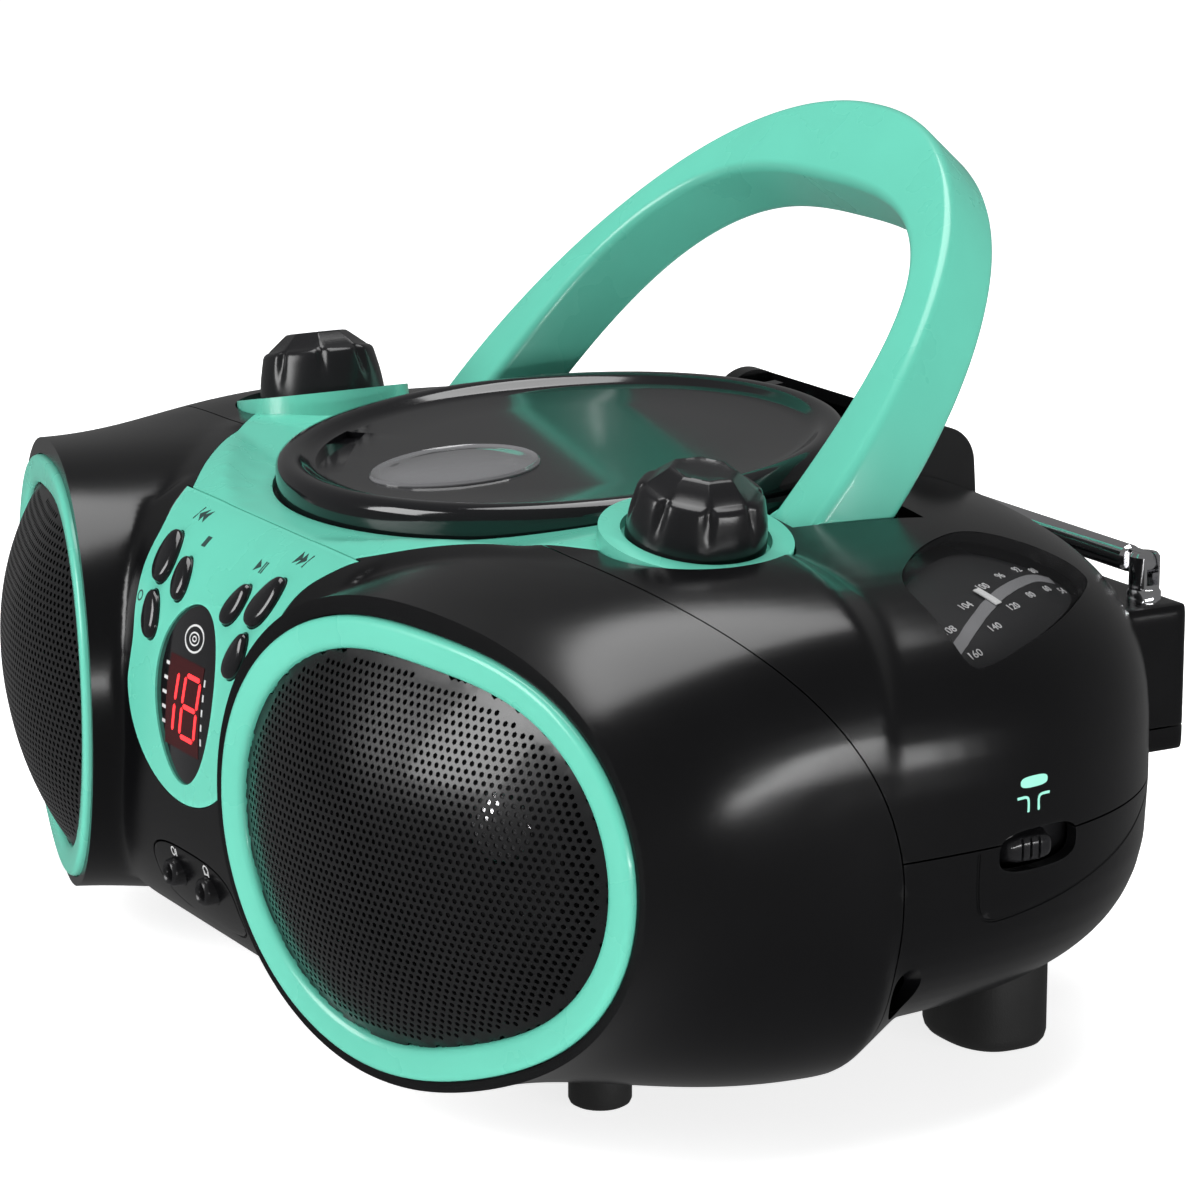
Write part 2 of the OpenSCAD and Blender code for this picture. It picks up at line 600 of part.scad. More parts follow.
module aerial_middle_tube() color(STEEL) on_aerial() difference() {
    translate([0, 0, 10]) cylinder(r = 2.5, h = aerial_len - 14);
    translate([0, 0, 13]) cylinder(r = 1.85, h = aerial_len);
}
module aerial_inner_rod() color(STEEL) on_aerial() {
    translate([0, 0, 16]) cylinder(r = 1.8, h = aerial_len - 19);
    translate([0, 0, aerial_len - 3]) cylinder(r = 3, h = 5);
}
module feet() color([0.08, 0.08, 0.08]) difference() {
    union() {
        both() translate([95, -47.5, 0]) cylinder(r = 7, h = 16);
        both() translate([99, 51, 0]) {
            linear_extrude(height = 34) polygon([for (t = [0:15:359]) squircle(15, 12, 2.6, t)]);
        }
    }
    outer_solid();
}

front_shell();
rear_upper_shell();
rear_lower_shell();
deck_fascia();
control_fascia();
display_window();
display_module();
jack_panel();
jack_sockets();
mirror([1, 0, 0]) speaker_ring();  // speaker_ring_left
speaker_ring();  // speaker_ring_right
mirror([1, 0, 0]) speaker_grille();  // speaker_grille_left
speaker_grille();  // speaker_grille_right
mirror([1, 0, 0]) speaker_basket();  // speaker_basket_left
speaker_basket();  // speaker_basket_right
mirror([1, 0, 0]) speaker_cone();  // speaker_cone_left
speaker_cone();  // speaker_cone_right
mirror([1, 0, 0]) speaker_magnet();  // speaker_magnet_left
speaker_magnet();  // speaker_magnet_right
cd_lid();
lid_window();
disc_clamp();
lid_hinge_pin();
hinge_cowl();
cd_well();
turntable();
spindle_motor();
cd_chassis();
guide_rods();
laser_sled();
laser_lens();
handle();
mirror([1, 0, 0]) knob_base();  // knob_base_left
knob_base();  // knob_base_right
mirror([1, 0, 0]) knob();  // volume_knob
knob();  // tuning_knob
volume_control();
tuning_capacitor();
dial_window();
dial_plate();
dial_pointer();
slide_switch();  // band_switch
mirror([1, 0, 0]) slide_switch();  // function_switch
button(0);  // skip_back_button
button(1);  // skip_forward_button
button(2);  // stop_button
button(3);  // play_button
button(4);  // repeat_button
button(5);  // program_button
main_board();
transformer();
ferrite_aerial();
ac_inlet();
battery_tray();
battery_door();
aerial_post();
aerial_outer_tube();
aerial_middle_tube();
aerial_inner_rod();
feet();
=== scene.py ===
import math

import bmesh
import bpy
import numpy as np
from mathutils import Matrix, Vector
from mathutils.bvhtree import BVHTree


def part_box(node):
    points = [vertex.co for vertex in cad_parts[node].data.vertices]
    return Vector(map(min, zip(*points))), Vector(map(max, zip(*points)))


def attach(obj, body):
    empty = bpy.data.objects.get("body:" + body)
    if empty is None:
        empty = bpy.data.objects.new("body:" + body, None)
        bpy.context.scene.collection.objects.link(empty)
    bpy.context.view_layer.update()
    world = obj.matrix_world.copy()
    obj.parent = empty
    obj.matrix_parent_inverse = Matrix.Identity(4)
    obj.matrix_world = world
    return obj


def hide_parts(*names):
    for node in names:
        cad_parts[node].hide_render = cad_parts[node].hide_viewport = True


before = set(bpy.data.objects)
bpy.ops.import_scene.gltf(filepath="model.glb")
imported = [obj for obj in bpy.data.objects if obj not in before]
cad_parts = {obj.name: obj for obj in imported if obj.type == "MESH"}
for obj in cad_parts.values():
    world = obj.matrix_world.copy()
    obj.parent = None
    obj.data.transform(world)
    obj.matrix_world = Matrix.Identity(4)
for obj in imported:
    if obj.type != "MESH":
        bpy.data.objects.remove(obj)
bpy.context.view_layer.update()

# ---------------------------------------------------------------------------
# The case: three ABS mouldings screwed together, in satin black with a fine spark-eroded grain.
# Two egg-shaped speaker barrels and a bulging control nose run into a body like a pebble, with a
# battery housing at the back. Lengths are in millimetres and MM takes them to metres.
MM = 0.001
CASE_HALF, CASE_FORE, CASE_BACK, CASE_Y = 153, 80, 118, -15
CASE_MID, CASE_UP, CASE_DOWN = 63, 61, 58
WALL = 3.0
SPEAKER_AT, TOE_OUT = (95.5, -92.5, 64), 15.8
PARTING, SEAM_GAP = 63.5, 0.22
FRONT_ON = Matrix(((1, 0, 0, 0), (0, 0, -1, 0), (0, 1, 0, 0), (0, 0, 0, 1)))
SIDE_ON = Matrix(((0, 0, 1, 0), (1, 0, 0, 0), (0, 1, 0, 0), (0, 0, 0, 1)))
MIRROR = Matrix.Scale(-1, 4, (1, 0, 0))
ON_SPEAKER = (Matrix.Translation(SPEAKER_AT) @ Matrix.Rotation(math.radians(TOE_OUT), 4, "Z")
              @ Matrix.Rotation(math.radians(90), 4, "X"))
ON_DECK = Matrix.Translation((0, -3.7, 120.3)) @ Matrix.Rotation(math.radians(4), 4, "X")
ON_KNOB = Matrix.Translation((90.7, -21.3, 122.6)) @ Matrix.Rotation(math.radians(12), 4, "Y")
ON_DIAL = (Matrix.Translation((115, 33, 107)) @ Matrix.Rotation(math.radians(24), 4, "Z")
           @ Matrix.Rotation(math.radians(38), 4, "Y"))


def piece(name, points, faces):
    mesh = bpy.data.meshes.new(name)
    mesh.from_pydata([Vector(p) * MM for p in points], [], faces)
    bm = bmesh.new()
    bm.from_mesh(mesh)
    bmesh.ops.recalc_face_normals(bm, faces=bm.faces)
    bm.to_mesh(mesh)
    bm.free()
    obj = bpy.data.objects.new(name, mesh)
    bpy.context.scene.collection.objects.link(obj)
    return obj


def walls(spans, n):
    """The faces between rings of n points, for as many spans from ring to ring as are asked for."""
    return [(i * n + k, i * n + (k + 1) % n, (i + 1) * n + (k + 1) % n, (i + 1) * n + k)
            for i in range(spans) for k in range(n)]


def cone_over(tip, start, n):
    """The faces from the ring that begins at start up to one point."""
    return [(tip, start + k, start + (k + 1) % n) for k in range(n)]


def block(outline, low, high, place=Matrix.Identity(4), name="cutter"):
    n = len(outline)
    points = [place @ Vector((x, y, z)) for z in (low, high) for x, y in outline]
    sides = [(i, (i + 1) % n, n + (i + 1) % n, n + i) for i in range(n)]
    return piece(name, points, [tuple(range(n))[::-1], tuple(range(n, 2 * n))] + sides)


def brick(low, high, name="cutter"):
    (x0, y0, z0), (x1, y1, z1) = low, high
    return block([(x0, y0), (x1, y0), (x1, y1), (x0, y1)], z0, z1, name=name)


def circle(r, count=96, cx=0.0, cy=0.0):
    return [(cx + r * math.cos(2 * math.pi * i / count), cy + r * math.sin(2 * math.pi * i / count))
            for i in range(count)]


def drum(r, low, high, place, count=96, cx=0.0, cy=0.0, name="cutter"):
    return block(circle(r, count, cx, cy), low, high, place, name)


def settle(obj):
    mesh = bpy.data.meshes.new_from_object(obj.evaluated_get(bpy.context.evaluated_depsgraph_get()))
    obj.modifiers.clear()
    old, obj.data = obj.data, mesh
    bpy.data.meshes.remove(old)
    return obj


def carve(obj, *tools, how="DIFFERENCE"):
    for tool in tools:
        cut = obj.modifiers.new("cut", "BOOLEAN")
        cut.object, cut.operation, cut.solver = tool, how, "MANIFOLD"
    settle(obj)
    for tool in tools:
        bpy.data.objects.remove(tool, do_unlink=True)
    return obj


def twin(obj, name="cutter"):
    other = obj.copy()
    other.data, other.name = obj.data.copy(), name
    bpy.context.scene.collection.objects.link(other)
    return other


def melt(name, parts, voxel, rounds):
    """Runs solid parts into one skin with soft inner and outer corners."""
    bm = bmesh.new()
    for part in parts:
        bm.from_mesh(part.data)
        bpy.data.objects.remove(part, do_unlink=True)
    mesh = bpy.data.meshes.new(name)
    bm.to_mesh(mesh)
    bm.free()
    obj = bpy.data.objects.new(name, mesh)
    bpy.context.scene.collection.objects.link(obj)
    skin = obj.modifiers.new("skin", "REMESH")
    skin.mode, skin.voxel_size = "VOXEL", voxel * MM
    soft = obj.modifiers.new("soft", "SMOOTH")
    soft.factor, soft.iterations = 0.5, rounds
    return settle(obj)


def superellipse(a, b, n, count=180):
    turns = [(i + 0.5) * 2 * math.pi / count for i in range(count)]
    return [(a * math.copysign(abs(math.cos(t)) ** (2 / n), math.cos(t)),
             b * math.copysign(abs(math.sin(t)) ** (2 / n), math.sin(t))) for t in turns]


def egg_r(t):
    stretch = 0.12 * math.cos(2 * (t - math.radians(5)))
    skew = 0.035 * math.cos(3 * (t - math.radians(71)))
    return 56.3 * (1 + stretch - skew)


def egg(g, count=144):
    turns = [2 * math.pi * i / count for i in range(count)]
    return [((egg_r(t) + g) * math.cos(t), (egg_r(t) + g) * math.sin(t)) for t in turns]


def panel_y(z):
    return -60 - 43 * max(0.0, 1 - (abs(z - 58) / 60) ** 2.6) ** (1 / 2.6)


def nose(d):
    curve = []
    for i in range(91):
        t = math.radians(90 + 2 * i)
        up = (60 if math.sin(t) > 0 else 50) - d
        curve.append((-60 - (43 - d) * abs(math.cos(t)) ** (2 / 2.6),
                      58 + up * math.copysign(abs(math.sin(t)) ** (2 / 2.6), math.sin(t))))
    return curve


def loft(rings, name="cutter"):
    """A closed solid through rings that all have the same number of points."""
    n, last = len(rings[0]), len(rings) - 1
    return piece(name, [p for ring in rings for p in ring],
                 walls(last, n) + [tuple(range(n)), tuple(range(last * n, last * n + n))])


def pebble(d):
    """The body without its barrels: rounded in plan and drawn in towards its top and bottom."""
    rings = []
    for step in range(-22, 23):
        rise = math.copysign(abs(math.sin(math.radians(step * 4))) ** (2 / 3.7), step)
        square = 3.7 if step > 0 else 3.0
        across = (CASE_HALF - d) * (1 - abs(rise) ** square) ** (1 / square)
        along = (1 - abs(rise) ** square) ** (1 / square)
        z = CASE_MID + rise * ((CASE_UP if step > 0 else CASE_DOWN) - d)
        rings.append([(x * across, CASE_Y + y * along * ((CASE_BACK if y > 0 else CASE_FORE) - d), z)
                      for x, y in superellipse(1, 1, 3)])
    return loft(rings)


def barrel(d, place):
    """One speaker barrel, swept from the lip round the ring back to half of the body's section."""
    turns = [2 * math.pi * i / 144 for i in range(144)]
    rim, root = [], []
    for t in turns:
        lip = egg_r(t) + 2.4 + 2.2 * max(0.0, math.sin(t)) ** 2 - d
        rim.append(ON_SPEAKER @ Vector((lip * math.cos(t), lip * math.sin(t), 4 - 8 * d)))
        square = 3.4 if math.sin(t) > 0 else 2.9
        across, up = abs(math.cos(t)) / (71 - d), abs(math.sin(t)) / (59.5 - d)
        r = (across ** square + up ** square) ** (-1 / square)
        root.append(Vector((82 + r * math.cos(t), -10, CASE_MID + r * math.sin(t))))
    inward = -(ON_SPEAKER.to_3x3() @ Vector((0, 0, 1)))
    rings = []
    for k in range(25):
        s = k / 24
        rings.append([place @ (a * (1 - s) ** 3 + (a + inward * 25) * 3 * s * (1 - s) ** 2
                               + (b - Vector((0, 40, 0))) * 3 * s * s * (1 - s) + b * s ** 3)
                      for a, b in zip(rim, root)])
    middle = Vector((82, 10, CASE_MID))
    rings.append([place @ (b.lerp(middle, 0.15) + Vector((0, 17, 0))) for b in root])
    return loft(rings)


def valley(d):
    """The air over the deck: it dips in front of the lid and climbs the flanks of the barrels."""
    rings = []
    for v in range(-104, 92, 6):
        forward = max(0.0, -50 - v)
        floor = []
        for i in range(41):
            u = -104 + 5.2 * i
            k = min(1.0, max(0.0, (abs(u) - 42 + 0.9 * forward) / 42))
            rise = (5 + 0.25 * forward) * k * k * (3 - 2 * k) + max(0.0, abs(u) - 94) * 3
            floor.append(ON_DECK @ Vector((u, v, rise - d)))
        rings.append(floor + [ON_DECK @ Vector((104, v, 60)), ON_DECK @ Vector((-104, v, 60))])
    return loft(rings)


def case_form(d, voxel, rounds, name):
    barrels = [barrel(d, place) for place in (Matrix.Identity(4), MIRROR)]
    bulge = block(nose(d * 1.8) + [(-50, 8 + d * 1.8), (-50, 118 - d * 1.8)], d - 50, 50 - d, SIDE_ON)
    housing = brick((-92 + d * 0.75, 40, 57.5 + d * 0.75), (92 - d * 0.75, 110.9 - d * 0.75, 92.5 - d * 0.75))
    parts = [pebble(d), *barrels, bulge, housing]
    for part in parts[:-1]:
        carve(part, valley(d))
    form = melt(name, parts, voxel, rounds)
    for place in (Matrix.Identity(4), MIRROR):
        carve(form, drum(70, -4.2 * d, 14, place @ ON_SPEAKER))
    return form


def seam_zone(shift):
    edge = [(-7 - 43 * (max(0, z - 55) / 66) ** 2 + shift, z) for z in np.linspace(-5, 127, 67)]
    return edge + [(edge[-1][0], 145), (-300, 145), (-300, -5)]


outer_form = case_form(0, 1.2, 8, "outer_form")
inner_form = case_form(WALL, 2.0, 3, "inner_form")
skin_tree = BVHTree.FromObject(outer_form, bpy.context.evaluated_depsgraph_get())

front_shell = carve(twin(outer_form, "front_shell"), block(seam_zone(-SEAM_GAP), -200, 200, SIDE_ON),
                    how="INTERSECT")
rear_shell = carve(twin(outer_form, "rear_shell"), block(seam_zone(SEAM_GAP), -200, 200, SIDE_ON),
                   twin(inner_form))
carve(front_shell, twin(inner_form))
below_parting = brick((-200, -120, -5), (200, 200, PARTING + SEAM_GAP))
rear_upper = carve(twin(rear_shell, "rear_upper_shell"), below_parting)
rear_lower = carve(rear_shell, brick((-200, -120, PARTING - SEAM_GAP), (200, 200, 145)))
rear_lower.name = "rear_lower_shell"


def spline(points, steps=8):
    """A smooth line through the points."""
    pts = [Vector(p) for p in points]
    pts = [pts[0] * 2 - pts[1]] + pts + [pts[-1] * 2 - pts[-2]]
    line = []
    for a, b, c, d in zip(pts, pts[1:], pts[2:], pts[3:]):
        for i in range(steps):
            t = i / steps
            line.append(0.5 * ((2 * b) + (c - a) * t + (2 * a - 5 * b + 4 * c - d) * t * t
                               + (3 * b - a - 3 * c + d) * t ** 3))
    return line + [pts[-2]]


def deck_outline(g):
    edge = spline([(30, -86), (42, -76), (53, -67), (74, -47.5), (90, -34), (97, -18), (90, 6 + g)])
    right = [(p.x + g, p.y) for p in edge]
    return right + [(-x, y) for x, y in reversed(right)]


def tongue(g):
    low = [((30 + g) * math.cos(t), 76 + (24 + g) * math.sin(t))
           for t in np.linspace(math.pi, 2 * math.pi, 49)]
    flank = spline([(30, 76), (29.8, 84), (32, 91), (34.5, 99), (36.5, 107), (40.5, 111.7),
                    (46, 115.4), (58, 118.5)])
    right = [(p.x + g, p.y) for p in flank[1:]]
    return low + right + [(80, 130), (-80, 130)] + [(-x, z) for x, z in reversed(right)]


def panel_skin(outward, inward):
    """A strip that follows the control panel's curve, from outward of it to inward of it."""
    return block(nose(-outward) + nose(inward)[::-1], -80, 80, SIDE_ON)


BUTTONS = {"skip_back": (-25.9, 103.4, 1.0), "skip_forward": (25.9, 103.4, 1.0), "stop": (-14.4, 100.6, 0.8),
           "play": (14.4, 100.6, 0.8), "repeat": (-22.7, 91.0, 0.85), "program": (22.7, 91.0, 0.85)}


def panel_lean(z):
    return math.atan2(panel_y(z + 0.5) - panel_y(z - 0.5), 1)


def on_button(x, z):
    return Matrix.Translation((x, panel_y(z), z)) @ Matrix.Rotation(math.radians(90) - panel_lean(z), 4, "X")


def button_outline(x, scale, g, count=40):
    """An egg, narrower at its upper end and leaning in towards the middle of the panel."""
    outline = []
    for t in [2 * math.pi * i / count for i in range(count)]:
        across = (4.4 * scale + g) * math.cos(t) * (1 - 0.16 * math.sin(t))
        outline.append((across + math.copysign(1.4, x) * math.sin(t), (6.6 * scale + g) * math.sin(t)))
    return outline


both_hands = (Matrix.Identity(4), MIRROR)
for hand in both_hands:
    place = hand @ ON_SPEAKER
    carve(front_shell, block(egg(0.2), -3.6, 20, place), block(egg(-7.4), -9, 20, place),
          drum(35, -50, 20, place))
    for shell in (front_shell, rear_upper):
        carve(shell, drum(21.9, -4, 30, hand @ ON_KNOB), drum(6, -14, 20, hand @ ON_KNOB, 48))
for shell in (front_shell, rear_upper):
    carve(shell, block(deck_outline(0.25), -12, 40, ON_DECK), drum(68.6, -12, 40, ON_DECK))
fascia_bed = carve(block(tongue(0.25), 79.2, 140, FRONT_ON), panel_skin(12, 2.8), how="INTERSECT")
ON_JACKS = Matrix.Translation((0, -99, 31)) @ FRONT_ON
carve(front_shell, fascia_bed, block(superellipse(22.3, 9.3, 3, 96), -4, 12, ON_JACKS),
      drum(4.6, 80, 110, Matrix.Translation((8.8, 0, 33)) @ FRONT_ON, 48),
      drum(4.6, 80, 110, Matrix.Translation((-8.8, 0, 33)) @ FRONT_ON, 48),
      brick((-13, -101, 58), (13, -80, 94)))
for x, z, scale in BUTTONS.values():
    carve(front_shell, block(button_outline(x, scale, 0.4), -8, 8, on_button(x, z)),
          drum(2.4, -16, 0, on_button(x, z), 32))

# handle slots, hinge pocket and battery opening
for side in (-1, 1):
    spin = Matrix.Translation((side * 79.5, 14.8, 113)) @ Matrix.Rotation(math.radians(90), 4, "Y")
    carve(rear_upper, drum(10.2, -8.9, 8.9, spin, 64),
          brick((side * 79.1 - 9.3, 4.8, 113), (side * 79.1 + 9.3, 39.3, 135)))
carve(rear_upper, brick((-46, 62, 104), (46, 92, 140)), brick((-81.8, 105, 61.6), (81.8, 130, 88.4)),
      drum(2.55, -8, 6, Matrix.Translation((85, 103, 92.5)), 32))
carve(rear_lower, brick((-81.8, 105, 61.6), (81.8, 130, 88.4)), brick((-62.2, 80, 25.8), (-37.8, 120, 46.2)))

# dial window, band switch and screw recesses
DIAL_SHAPE = [(-8.6, -22), (-15.5, -2), (-17, 18), (-6, 28), (7.8, 35), (13.5, 20), (18.5, 0),
              (20.5, -22), (19, -29.5), (5, -26.5)]


def rounded(points, r, steps=6):
    """The outline with each corner taken off by a curve that starts r short of it."""
    line, n = [], len(points)
    for i in range(n):
        a, b, c = (Vector(points[(i + k) % n]) for k in (-1, 0, 1))
        p = b + (a - b).normalized() * min(r, (a - b).length * 0.45)
        q = b + (c - b).normalized() * min(r, (c - b).length * 0.45)
        line += [tuple(p.lerp(b, t).lerp(b.lerp(q, t), t)) for t in np.linspace(0, 1, steps + 1)]
    return line


dial_outline = rounded(DIAL_SHAPE, 9)


def grown(outline, g):
    pts = [Vector(p) for p in outline]
    mid = sum(pts, Vector((0, 0))) / len(pts)
    return [tuple(p + (p - mid).normalized() * g) for p in pts]


PILL_Y, PILL_Z = 29.0, 61.2
pill = [(PILL_Y + x, PILL_Z + y) for x, y in superellipse(11.5, 4.6, 3.2, 64)]
dial_glass_blank = twin(outer_form, "dial_glass")
carve(rear_upper, block(grown(dial_outline, 0.35), -14, 30, ON_DIAL))
for shell in (rear_upper, rear_lower):
    carve(shell, block(pill, 134, 165, SIDE_ON), block(pill, -165, -134, SIDE_ON))
for side in (-1, 1):
    screw = Matrix.Translation((side * 134, -2, 26)) @ Matrix.Rotation(math.radians(side * 62), 4, "Y")
    carve(rear_lower, drum(4, -14, 30, screw, 48))


def skin_point(origin, ray):
    hit, normal, _, _ = skin_tree.ray_cast(Vector(origin) * MM, ray)
    return (hit / MM, normal) if hit else (None, None)


def on_side(sign):
    """Height h above the case's side, at distance y along it and height z."""
    def at(y, z, h):
        hit, normal = skin_point((sign * 200, y, z), Vector((-sign, 0, 0)))
        return hit + normal * h
    return at


def groove(name, line, r):
    """A round cord laid along the line, to be cut away as a moulding line."""
    ring, points = 8, []
    for i, p in enumerate(line):
        ahead = (line[min(i + 1, len(line) - 1)] - line[max(i - 1, 0)]).normalized()
        u = ahead.orthogonal().normalized()
        if i and u.dot(last) < 0:
            u = -u
        u = (last - ahead * last.dot(ahead)).normalized() if i else u
        last, v = u, ahead.cross(u)
        points += [p + (u * math.cos(a) + v * math.sin(a)) * r
                   for a in np.linspace(0, 2 * math.pi, ring + 1)[:-1]]
    faces = [(i * ring + k, i * ring + (k + 1) % ring, (i + 1) * ring + (k + 1) % ring, (i + 1) * ring + k)
             for i in range(len(line) - 1) for k in range(ring)]
    ends = [tuple(range(ring))[::-1], tuple(range(len(points) - ring, len(points)))]
    return piece(name, points, faces + ends)


for sign in (-1, 1):
    path = spline([(12, 62.5), (12, 56), (12.6, 50), (15, 47.3), (20, 46.8), (34, 48.6), (48, 51.5),
                   (62, 55.4), (72, 59.5), (78, 63)], 5)
    carve(rear_lower, groove("cutter", [on_side(sign)(p.x, p.y, 0.1) for p in path], 0.45))


def noise(nodes, coord, scale, detail=3.0, rough=0.5):
    n = nodes.new("ShaderNodeTexNoise")
    n.inputs["Scale"].default_value, n.inputs["Detail"].default_value = scale, detail
    n.inputs["Roughness"].default_value = rough
    nodes.id_data.links.new(coord, n.inputs["Vector"])
    return n.outputs["Fac"]


def moulded(name, colour, rough, grain=0.05, grain_size=0.5, cloud=0.06, metal=0.0, coat=0.0, wear=0.0,
            alpha=1.0):
    """A finish with a fine grain, a slow drift of shade and of gloss, and rubbed edges."""
    mat = bpy.data.materials.new(name)
    mat.use_nodes = True
    tree = mat.node_tree
    nodes, links = tree.nodes, tree.links
    shader = nodes["Principled BSDF"]
    coord = nodes.new("ShaderNodeTexCoord").outputs["Object"]
    drift, fine = noise(nodes, coord, 38, 4), noise(nodes, coord, 1 / (grain_size * MM), 2, 0.6)
    ramp = nodes.new("ShaderNodeValToRGB")
    for stop, k in zip(ramp.color_ramp.elements, (1 - cloud, 1 + cloud)):
        stop.color = [min(1, c * k) for c in colour] + [1]
    ramp.color_ramp.elements[0].position, ramp.color_ramp.elements[1].position = 0.3, 0.7
    links.new(drift, ramp.inputs["Fac"])
    tint = ramp.outputs["Color"]
    if wear:
        edge = nodes.new("ShaderNodeMapRange")
        edge.inputs["From Min"].default_value, edge.inputs["From Max"].default_value = 0.53, 0.62
        links.new(nodes.new("ShaderNodeNewGeometry").outputs["Pointiness"], edge.inputs["Value"])
        mix = nodes.new("ShaderNodeMix")
        mix.data_type = "RGBA"
        scale = nodes.new("ShaderNodeMath")
        scale.operation, scale.inputs[1].default_value = "MULTIPLY", wear
        links.new(edge.outputs["Result"], scale.inputs[0])
        links.new(scale.outputs["Value"], mix.inputs["Factor"])
        links.new(tint, mix.inputs["A"])
        mix.inputs["B"].default_value = [min(1, c * 1.8 + 0.03) for c in colour] + [1]
        tint = mix.outputs["Result"]
    links.new(tint, shader.inputs["Base Color"])
    gloss = nodes.new("ShaderNodeMapRange")
    gloss.inputs["To Min"].default_value, gloss.inputs["To Max"].default_value = rough * 0.82, rough * 1.18
    links.new(drift, gloss.inputs["Value"])
    links.new(gloss.outputs["Result"], shader.inputs["Roughness"])
    bump = nodes.new("ShaderNodeBump")
    bump.inputs["Strength"].default_value, bump.inputs["Distance"].default_value = grain, 0.0002
    links.new(fine, bump.inputs["Height"])
    links.new(bump.outputs["Normal"], shader.inputs["Normal"])
    shader.inputs["Metallic"].default_value, shader.inputs["Alpha"].default_value = metal, alpha
    shader.inputs["Specular IOR Level"].default_value = 0.4
    shader.inputs["Coat Weight"].default_value, shader.inputs["Coat Roughness"].default_value = coat, 0.06
    return mat


def fit(obj, material, body, slot, *nodes, angle=35):
    """Gives a finished piece its material and shading, and fixes it to its body."""
    obj.data.materials.clear()
    obj.data.materials.append(material)
    obj.data.shade_smooth()
    obj.data.set_sharp_from_angle(angle=math.radians(angle))
    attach(obj, body)
    if nodes:
        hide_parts(*nodes)
    return obj


case_black = moulded("satin_black_abs", (0.002, 0.002, 0.0024), 0.21, 0.07, 0.35, 0.10, wear=0.25)
fit(front_shell, case_black, "case", "shell_black", "front_shell")
fit(rear_upper, case_black, "case", "shell_black", "rear_upper_shell")
fit(rear_lower, case_black, "case", "shell_black", "rear_lower_shell")

# ---------------------------------------------------------------------------
# Mint trim: the control fascia is a thin painted moulding clipped over the nose, and the deck
# fascia is one moulding that runs round the CD lid and out to a raised flange under each knob.
mint = moulded("mint_paint", (0.12, 0.53, 0.40), 0.28, 0.06, 0.5, 0.03, coat=0.25, wear=0.10)

fascia = carve(block(tongue(0), 79.6, 140, FRONT_ON), panel_skin(12, 2.6), how="INTERSECT")
carve(fascia, twin(outer_form), how="INTERSECT")
fascia.name = "control_fascia"
display_outline = [(15.2 * math.cos(t) * (1 + 0.12 * math.sin(t)), 77 + 20.5 * math.sin(t))
                   for t in np.linspace(0, 2 * math.pi, 97)[:-1]]
over_deck = block([(-100, -200), (100, -200), (100, 100), (-100, 100)], -0.1, 60, ON_DECK)
carve(fascia, block(display_outline, 60, 140, FRONT_ON), over_deck)
for x, z, scale in BUTTONS.values():
    carve(fascia, block(button_outline(x, scale, 0.35), -8, 8, on_button(x, z)))


def edge_round(obj, width, angle=45, segments=3):
    bevel = obj.modifiers.new("edge", "BEVEL")
    bevel.width, bevel.segments, bevel.angle_limit = width * MM, segments, math.radians(angle)
    bevel.limit_method, bevel.harden_normals = "ANGLE", False
    return settle(obj)


edge_round(fascia, 0.5)
fit(fascia, mint, "case", "mint_trim", "control_fascia")

deck = carve(block(deck_outline(0), -12, 30, ON_DECK), twin(outer_form), how="INTERSECT")
deck.name = "deck_fascia"
carve(deck, twin(inner_form), drum(68.0, -20, 30, ON_DECK, 160), brick((-110, -130, 0), (110, -79.2, 200)))
for hand in both_hands:
    carve(deck, drum(21.4, -5, 1.2, hand @ ON_KNOB), how="UNION")
edge_round(deck, 0.5, 50)
for hand in both_hands:
    carve(deck, drum(16.6, -1.5, 20, hand @ ON_KNOB), drum(3.6, -10, 20, hand @ ON_KNOB, 40))
for side in (-1, 1):
    carve(deck, brick((side * 79.1 - 9.3, 4.8, 100), (side * 79.1 + 9.3, 39.3, 140)))
fit(deck, mint, "case", "mint_trim", "deck_fascia", "knob_base_left", "knob_base_right")

# ---------------------------------------------------------------------------
# Display: a gloss black lens set into the fascia over a two-digit LED block, with a disc mark
# above it and play-mode marks printed down both sides.
lens_black = moulded("gloss_black_lens", (0.006, 0.006, 0.007), 0.09, 0.01, 0.8, 0.05, coat=0.5)
lens = block(grown(display_outline, -0.12), 79.6, 140, FRONT_ON)
carve(lens, panel_skin(-0.45, 2.6), how="INTERSECT")
lens.name = "display_lens"
edge_round(lens, 0.3)
fit(lens, lens_black, "case", "gloss_black", "display_window")


def stamp(name, shapes, surface, lift, thick, material, body, slot, steps=1):
    """Thin printed or raised marks, made of flat shapes laid on a surface."""
    bm = bmesh.new()
    for shape in shapes:
        bm.faces.new([bm.verts.new((u, v, 0)) for u, v in shape])
    bmesh.ops.remove_doubles(bm, verts=bm.verts, dist=0.01)
    if steps > 1:
        bmesh.ops.subdivide_edges(bm, edges=bm.edges, cuts=steps - 1, use_grid_fill=True)
    bm.normal_update()
    for v in bm.verts:
        v.co = Vector(surface(v.co.x, v.co.y, lift)) * MM
    mesh = bpy.data.meshes.new(name)
    bm.to_mesh(mesh)
    bm.free()
    obj = bpy.data.objects.new(name, mesh)
    bpy.context.scene.collection.objects.link(obj)
    body_of_ink = obj.modifiers.new("thick", "SOLIDIFY")
    body_of_ink.thickness, body_of_ink.offset = thick * MM, 0
    settle(obj)
    return fit(obj, material, body, slot)


def on_panel(x, z, h):
    lean = panel_lean(z)
    return (x, panel_y(z) - h * math.cos(lean), z + h * math.sin(lean))


def bar(x0, y0, x1, y1):
    return [(x0, y0), (x1, y0), (x1, y1), (x0, y1)]


